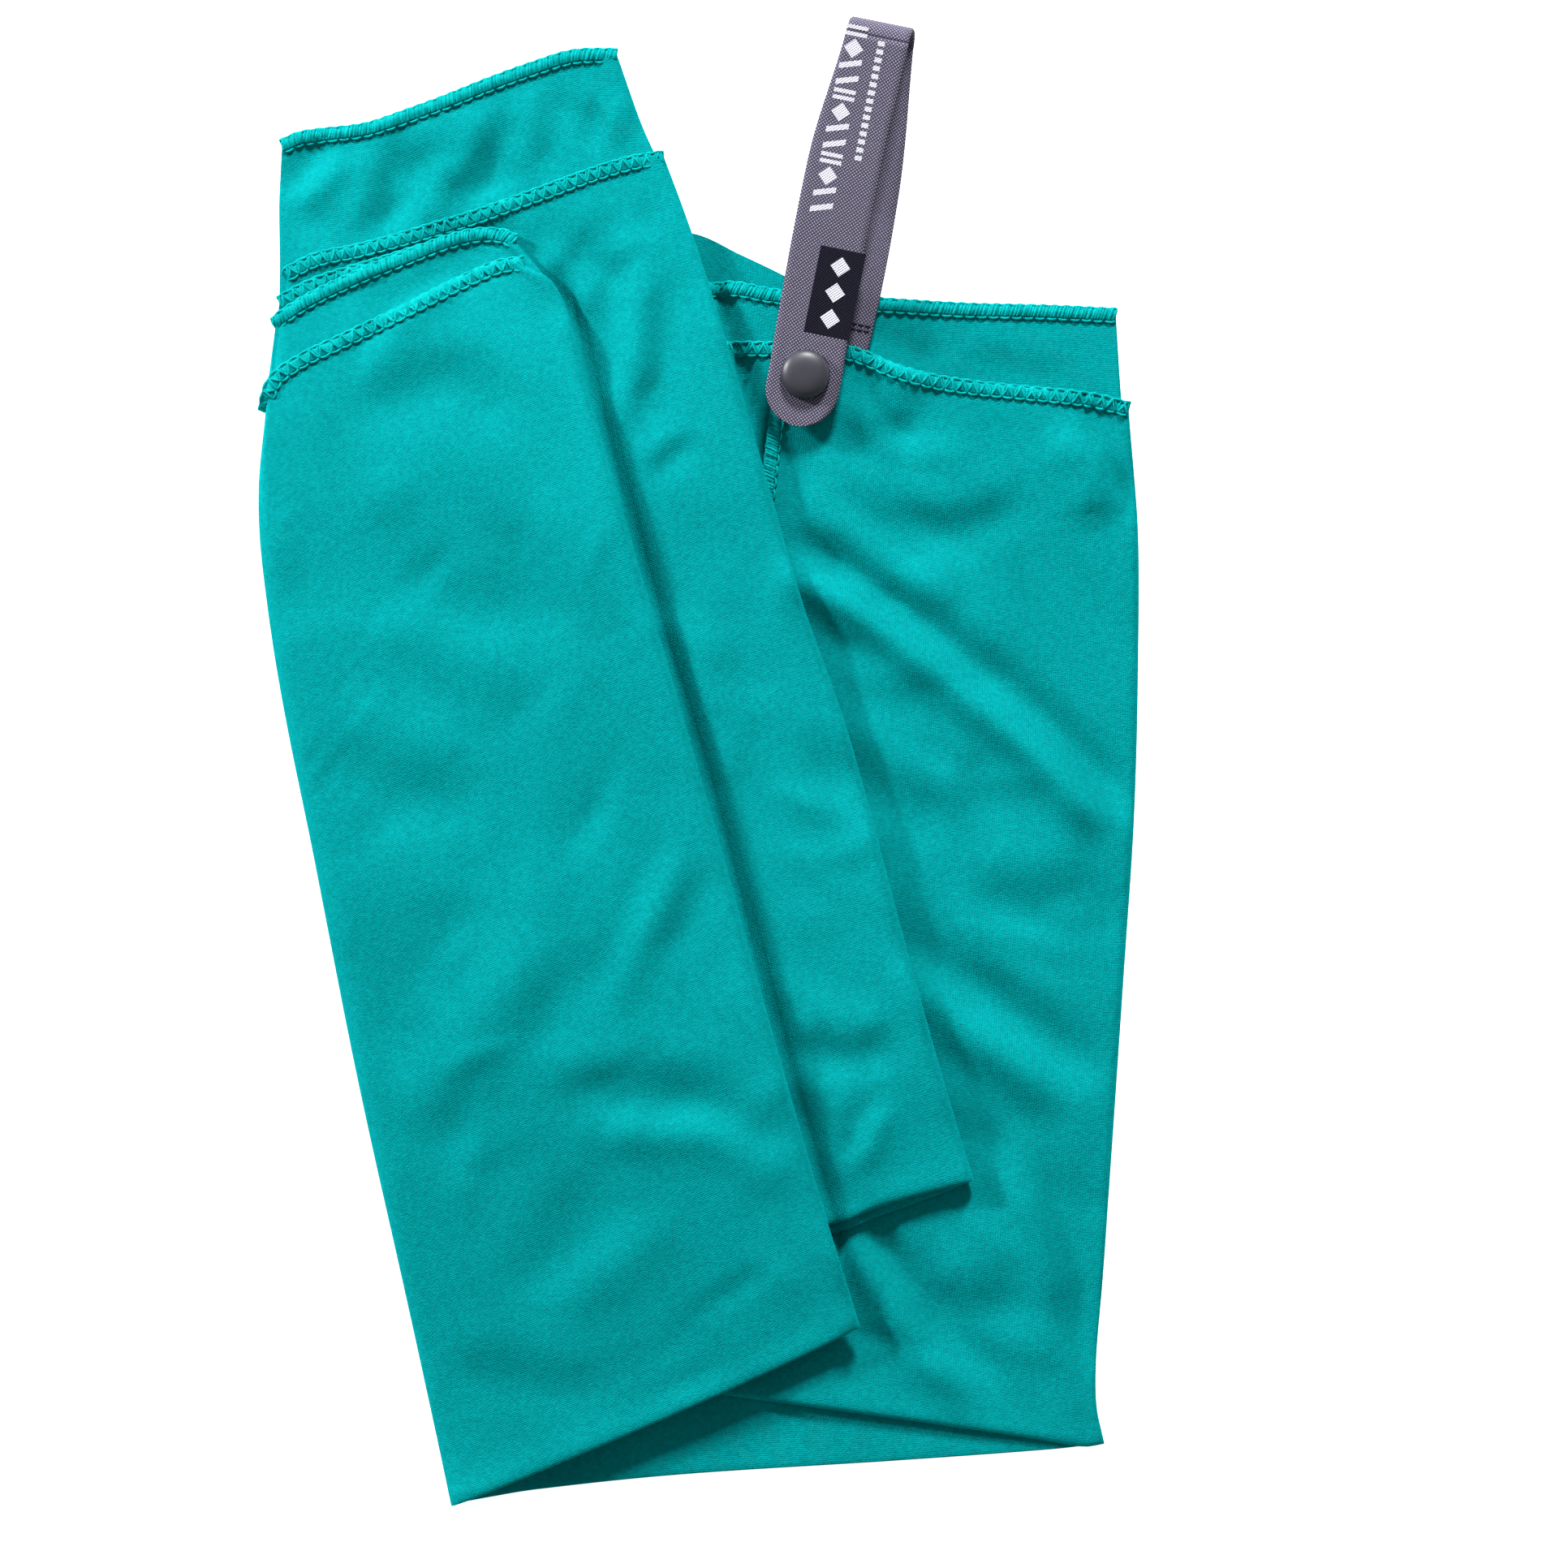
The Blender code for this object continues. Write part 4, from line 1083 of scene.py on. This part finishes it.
def build_snap(resin):
    """Cap and socket on the tab, stud and backing on the towel's corner."""
    radius, low, top = round_size("snap_cap")
    rim = low - 0.25
    shoulder = rim + 0.62
    dome = [(0.01, rim), (radius - 0.5, rim), (radius - 0.12, rim + 0.08), (radius, rim + 0.35),
            (radius - 0.06, shoulder)]
    for angle in np.linspace(0.12, math.pi / 2, 18):
        rise = (top - rim - 0.62) * math.sin(angle) ** 1.15
        dome.append(((radius - 0.1) * math.cos(angle) ** 0.62, shoulder + rise))
    dome[-1] = (0.01, dome[-1][1])
    turned("snap_cap_dome", dome, resin, "tab", "snap_cap")
    radius, low, top = round_size("snap_socket")
    ring = [(2.2, low + 0.25), (2.6, low), (3.3, low + 0.3), (radius - 0.4, low + 0.3), (radius, low + 0.6),
            (radius, top + 0.25), (2.2, top + 0.25)]
    turned("snap_socket_ring", ring, resin, "tab", "snap_socket")
    radius, low, top = round_size("snap_stud")
    stud = [(0.01, low - 0.2), (radius, low - 0.2), (radius, low + 0.25), (radius - 0.3, low + 0.5),
            (1.9, low + 0.6), (1.5, low + 0.9), (1.5, low + 1.2), (1.75, top - 0.5), (1.6, top - 0.2),
            (1.0, top), (0.01, top)]
    turned("snap_stud_post", stud, resin, "towel", "snap_stud")
    _, low, top = round_size("snap_backing")
    disc = [(0.01, low), (4.4, low), (4.7, low + 0.2), (4.4, top), (0.01, top)]
    turned("snap_backing_disc", disc, resin, "towel", "snap_backing")


# ---------------------------------------------------------------- floor, light and camera

LIGHT_DISTANCE = 2.4    # metres
# Name, azimuth and elevation in degrees, size in metres and power in watts
LAMPS = (("key", 82.0, 28.0, 0.42, 105.0), ("left", 150.0, 20.0, 0.26, 79.0))


def build_stage():
    """A bright white floor, a pale world and two lamps."""
    size = 3.0
    mesh = bpy.data.meshes.new("floor")
    corners = [(-size, -size, 0), (size, -size, 0), (size, size, 0), (-size, size, 0)]
    mesh.from_pydata(corners, [], [(0, 1, 2, 3)])
    floor = link_object("floor", mesh)
    made, _, shader = shader_nodes("white_sweep", (0.93, 0.93, 0.93, 1.0), 0.9)
    shader.inputs["Emission Color"].default_value = (1.0, 1.0, 1.0, 1.0)
    shader.inputs["Emission Strength"].default_value = 0.8
    floor.data.materials.append(made)
    world = bpy.data.worlds.new("studio")
    world.use_nodes = True
    world.node_tree.nodes["Background"].inputs[0].default_value = (1.0, 1.0, 1.0, 1.0)
    world.node_tree.nodes["Background"].inputs[1].default_value = 0.27
    bpy.context.scene.world = world
    for name, azimuth, elevation, size, power in LAMPS:
        light = bpy.data.lights.new(name, "AREA")
        light.size = size
        light.energy = power
        lamp = link_object(name, light)
        turn, rise = math.radians(azimuth), math.radians(elevation)
        place = LIGHT_DISTANCE * Vector((math.cos(turn) * math.cos(rise), math.sin(turn) * math.cos(rise),
                                         math.sin(rise)))
        lamp.location = place
        lamp.rotation_euler = place.to_track_quat("Z", "Y").to_euler()


def build_camera():
    """Straight above, with the towel a little left of the middle as it is seen."""
    view_width = 0.3578
    data = bpy.data.cameras.new("camera")
    data.lens = 100.0
    data.sensor_width = 36.0
    camera = link_object("camera", data)
    focus_height = 0.006
    camera.location = (0.01917, -0.00528, focus_height + view_width * data.lens / data.sensor_width)
    camera.rotation_euler = (0.0, 0.0, 0.0)
    bpy.context.scene.camera = camera
    bpy.context.scene.view_settings.view_transform = "Standard"


def main():
    build_camera()
    build_stage()
    cloth = cloth_material()
    thread = thread_material()
    strap = woven_material("strap_weave", (0.060, 0.054, 0.084, 1), (0.44, 0.42, 0.52, 1))
    white = woven_material("white_weave", (0.50, 0.50, 0.60, 1), (0.80, 0.80, 0.88, 1), 0.00035, speck=0.8)
    black = woven_material("black_weave", (0.008, 0.008, 0.014, 1), (0.035, 0.033, 0.05, 1), 0.00035)
    resin = plastic_material()
    made = build_cloth(cloth)
    hems = build_hems(thread)
    tack = woven_material("tack_thread", (0.05, 0.046, 0.07, 1), (0.12, 0.11, 0.16, 1))
    build_strap(strap, white, black, tack)
    build_snap(resin)


main()
